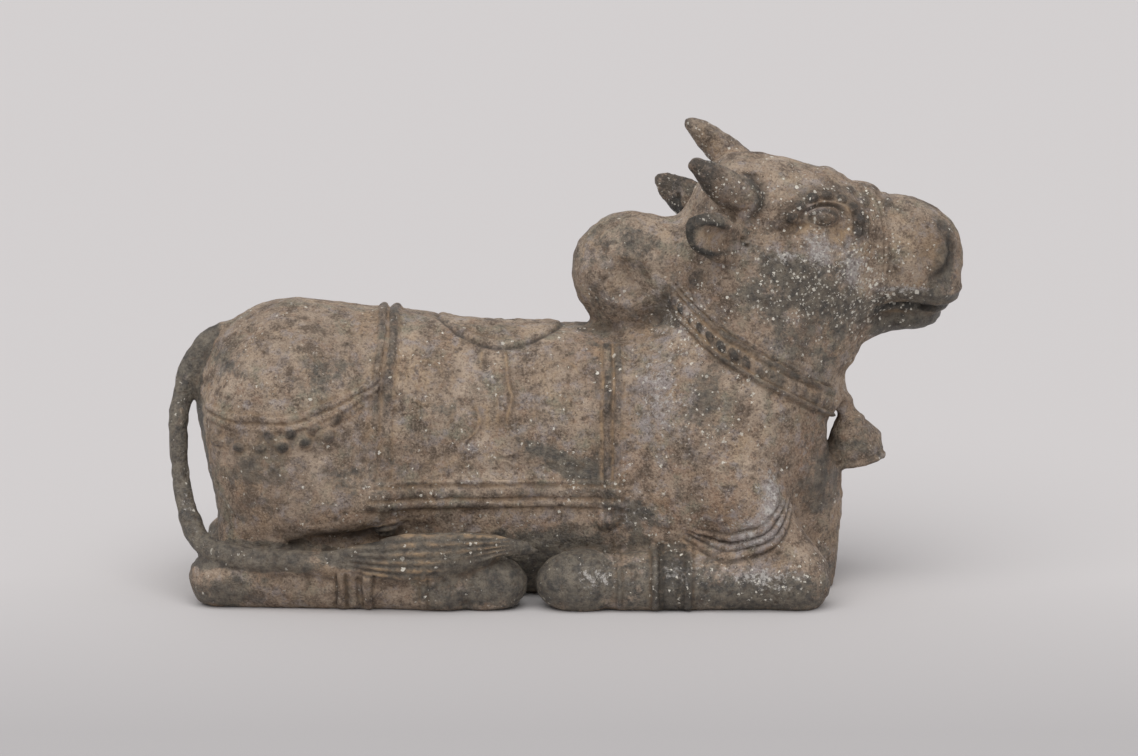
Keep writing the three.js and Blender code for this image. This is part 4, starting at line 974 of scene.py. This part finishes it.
def old_bronze():
    material, tree, shader = started("old_bronze", 0.6)
    hollows, ridges, earths, darks = (mask_on(tree, name) for name in ("hollow", "ridge", "earth", "dark"))
    slates, limes, blooms, rusts = (mask_on(tree, name) for name in ("slate", "lime", "bloom", "rust"))
    coarse = clouds(tree, 0.0016, detail=5, rough=0.7, shift=0.5)
    fine = clouds(tree, 0.0006, detail=3, rough=0.7, shift=0.8)
    colour = mottled_metal(tree, rusts, fine)
    colour, slate = crusts(tree, colour, blooms, slates)
    # dark grain at two sizes, and small pits
    colour = mix(tree, ramp(tree, coarse, 0.46, 0.32, 0.7), colour, DEEP_BROWN)
    colour = mix(tree, ramp(tree, fine, 0.46, 0.32, 0.6), colour, PIT)
    pits = spots(tree, ramp(tree, clouds(tree, 0.01, shift=3.3), 0.4, 0.7, 0.3), 0.0012, 0.3, 0.11)
    colour = mix(tree, math(tree, "MULTIPLY", pits, 0.75), colour, PIT)
    # dirt and painted shade in the hollows, and earth in the grooves
    deep = math(tree, "MULTIPLY", hollows, ramp(tree, clouds(tree, 0.004, shift=1.3), 0.3, 0.6, 0.8))
    colour = mix(tree, deep, colour, DEEP_BROWN)
    stain = ramp(tree, clouds(tree, 0.003, detail=6, rough=0.65, shift=1.7), 0.38, 0.6, 0.85)
    caught = math(tree, "ADD", math(tree, "MULTIPLY", hollows, 0.12), earths)
    colour = mix(tree, math(tree, "MULTIPLY", caught, stain), colour, OCHRE)
    # places rubbed dark, and painted shade from the dark mask
    rubbed_and_shaded = math(tree, "ADD", darks, math(tree, "MULTIPLY", ridges, 0.15))
    worn_off = ramp(tree, clouds(tree, 0.0018, detail=6, rough=0.7, shift=2.1), 0.3, 0.5)
    polish_and_shade = math(tree, "MULTIPLY", rubbed_and_shaded, worn_off)
    colour = mix(tree, math(tree, "MULTIPLY", polish_and_shade, 0.8), colour, BLACK)
    # lime: crumbs in clumps, of three sizes, many where it lies thick
    clump = ramp(tree, clouds(tree, 0.007, detail=3, shift=2.9), 0.42, 0.66)
    thick = math(tree, "MULTIPLY", limes, 0.45)
    need = plus(tree, thick, math(tree, "MULTIPLY", clump, math(tree, "ADD", thick, 0.12)))
    for size, radius, shift in CRUMBS:
        colour = mix(tree, spots(tree, need, size, radius, shift), colour, CREAM)
    tree.links.new(colour, shader.inputs["Base Color"])
    shine = math(tree, "ADD", math(tree, "MULTIPLY", slate, 0.6), polish_and_shade)
    rough = add(tree, "MapRange", Value=shine, To_Min=0.7, To_Max=0.4).outputs["Result"]
    tree.links.new(rough, shader.inputs["Roughness"])
    shader.inputs["Specular IOR Level"].default_value = 0.45
    lumps = add(tree, "Bump", Height=coarse, Strength=1.0, Distance=0.0009)
    grit = add(tree, "Bump", Height=fine, Strength=0.9, Distance=0.0004, Normal=lumps.outputs["Normal"])
    dents = add(tree, "Bump", Height=pits, Strength=0.8, Distance=-0.0004, Normal=grit.outputs["Normal"])
    tree.links.new(dents.outputs["Normal"], shader.inputs["Normal"])
    return material


bull.data.materials.append(old_bronze())
print("nodes in the bronze:", len(bull.data.materials[0].node_tree.nodes))

# %% [markdown]
# ## Floor, light and camera
# A museum puts such a figure on pale paper under a large soft lamp. A sun with a wide angle lights
# everything evenly and throws a shadow without an edge. The sky's own light fills the rest. The
# paper's colour is painted a touch darker towards the camera, as painted shade where a lamp would fall off.

# %% Paper
PAPER = (0.605, 0.584, 0.586, 1)
# Painted shade: the paper's colour near the camera
PAPER_SHADE = (0.465, 0.45, 0.455, 1)
PAPER_SIZE = 12
FALL_FROM, FALL_TO = 0.01, -0.16


def paper():
    material, tree, shader = started("pale_paper", 0.9)
    place = add(tree, "SeparateXYZ", Vector=add(tree, "TexCoord").outputs["Object"])
    # Painted shade: the paper darkens towards the camera
    painted_falloff = ramp(tree, place.outputs["Y"], FALL_FROM, FALL_TO)
    tree.links.new(mix(tree, painted_falloff, PAPER, PAPER_SHADE), shader.inputs["Base Color"])
    return material


bpy.ops.object.select_all(action="DESELECT")
bpy.ops.mesh.primitive_plane_add(size=PAPER_SIZE, location=(0, 0, 0))
floor = bpy.context.object
floor.name = "floor"
floor.data.materials.append(paper())
print("paper:", PAPER_SIZE, "m")

# %% Light
LAMP_STRENGTH, LAMP_SPREAD = 1.95, np.radians(65)
LAMP_TOWARDS = Vector((0.12, 0.62, -1.05))
LAMP_WHITE = (1, 0.985, 0.965)
SKY_STRENGTH, SKY_WHITE = 0.55, (0.985, 0.985, 1, 1)
lamp_data = bpy.data.lights.new("soft_lamp", "SUN")
lamp_data.energy = LAMP_STRENGTH
lamp_data.angle = LAMP_SPREAD
lamp_data.color = LAMP_WHITE
lamp = bpy.data.objects.new("soft_lamp", lamp_data)
lamp.rotation_euler = LAMP_TOWARDS.to_track_quat("-Z", "Y").to_euler()
bpy.context.collection.objects.link(lamp)
world = bpy.data.worlds.new("studio")
world.use_nodes = True
world.node_tree.nodes["Background"].inputs["Color"].default_value = SKY_WHITE
world.node_tree.nodes["Background"].inputs["Strength"].default_value = SKY_STRENGTH
bpy.context.scene.world = world
bpy.context.scene.view_settings.view_transform = "Standard"
print("lamp:", LAMP_STRENGTH, "sky:", SKY_STRENGTH)

# %% The camera, as the photograph was taken
AIM = Vector((0.0008, 0, 0.059))
DISTANCE, ELEVATION = 1.1, np.radians(10)
LENS, SENSOR = 124.3, 36
camera_data = bpy.data.cameras.new("camera")
camera_data.lens = LENS
camera_data.sensor_width = SENSOR
camera = bpy.data.objects.new("camera", camera_data)
back = Vector((0, -np.cos(ELEVATION), np.sin(ELEVATION)))
camera.location = AIM + back * DISTANCE
camera.rotation_euler = (-back).to_track_quat("-Z", "Y").to_euler()
bpy.context.collection.objects.link(camera)
bpy.context.scene.camera = camera
print("camera at", [round(v, 3) for v in camera.location])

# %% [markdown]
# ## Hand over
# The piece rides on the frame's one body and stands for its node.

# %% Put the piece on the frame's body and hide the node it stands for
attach(bull, "root")
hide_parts("nandi_bull")
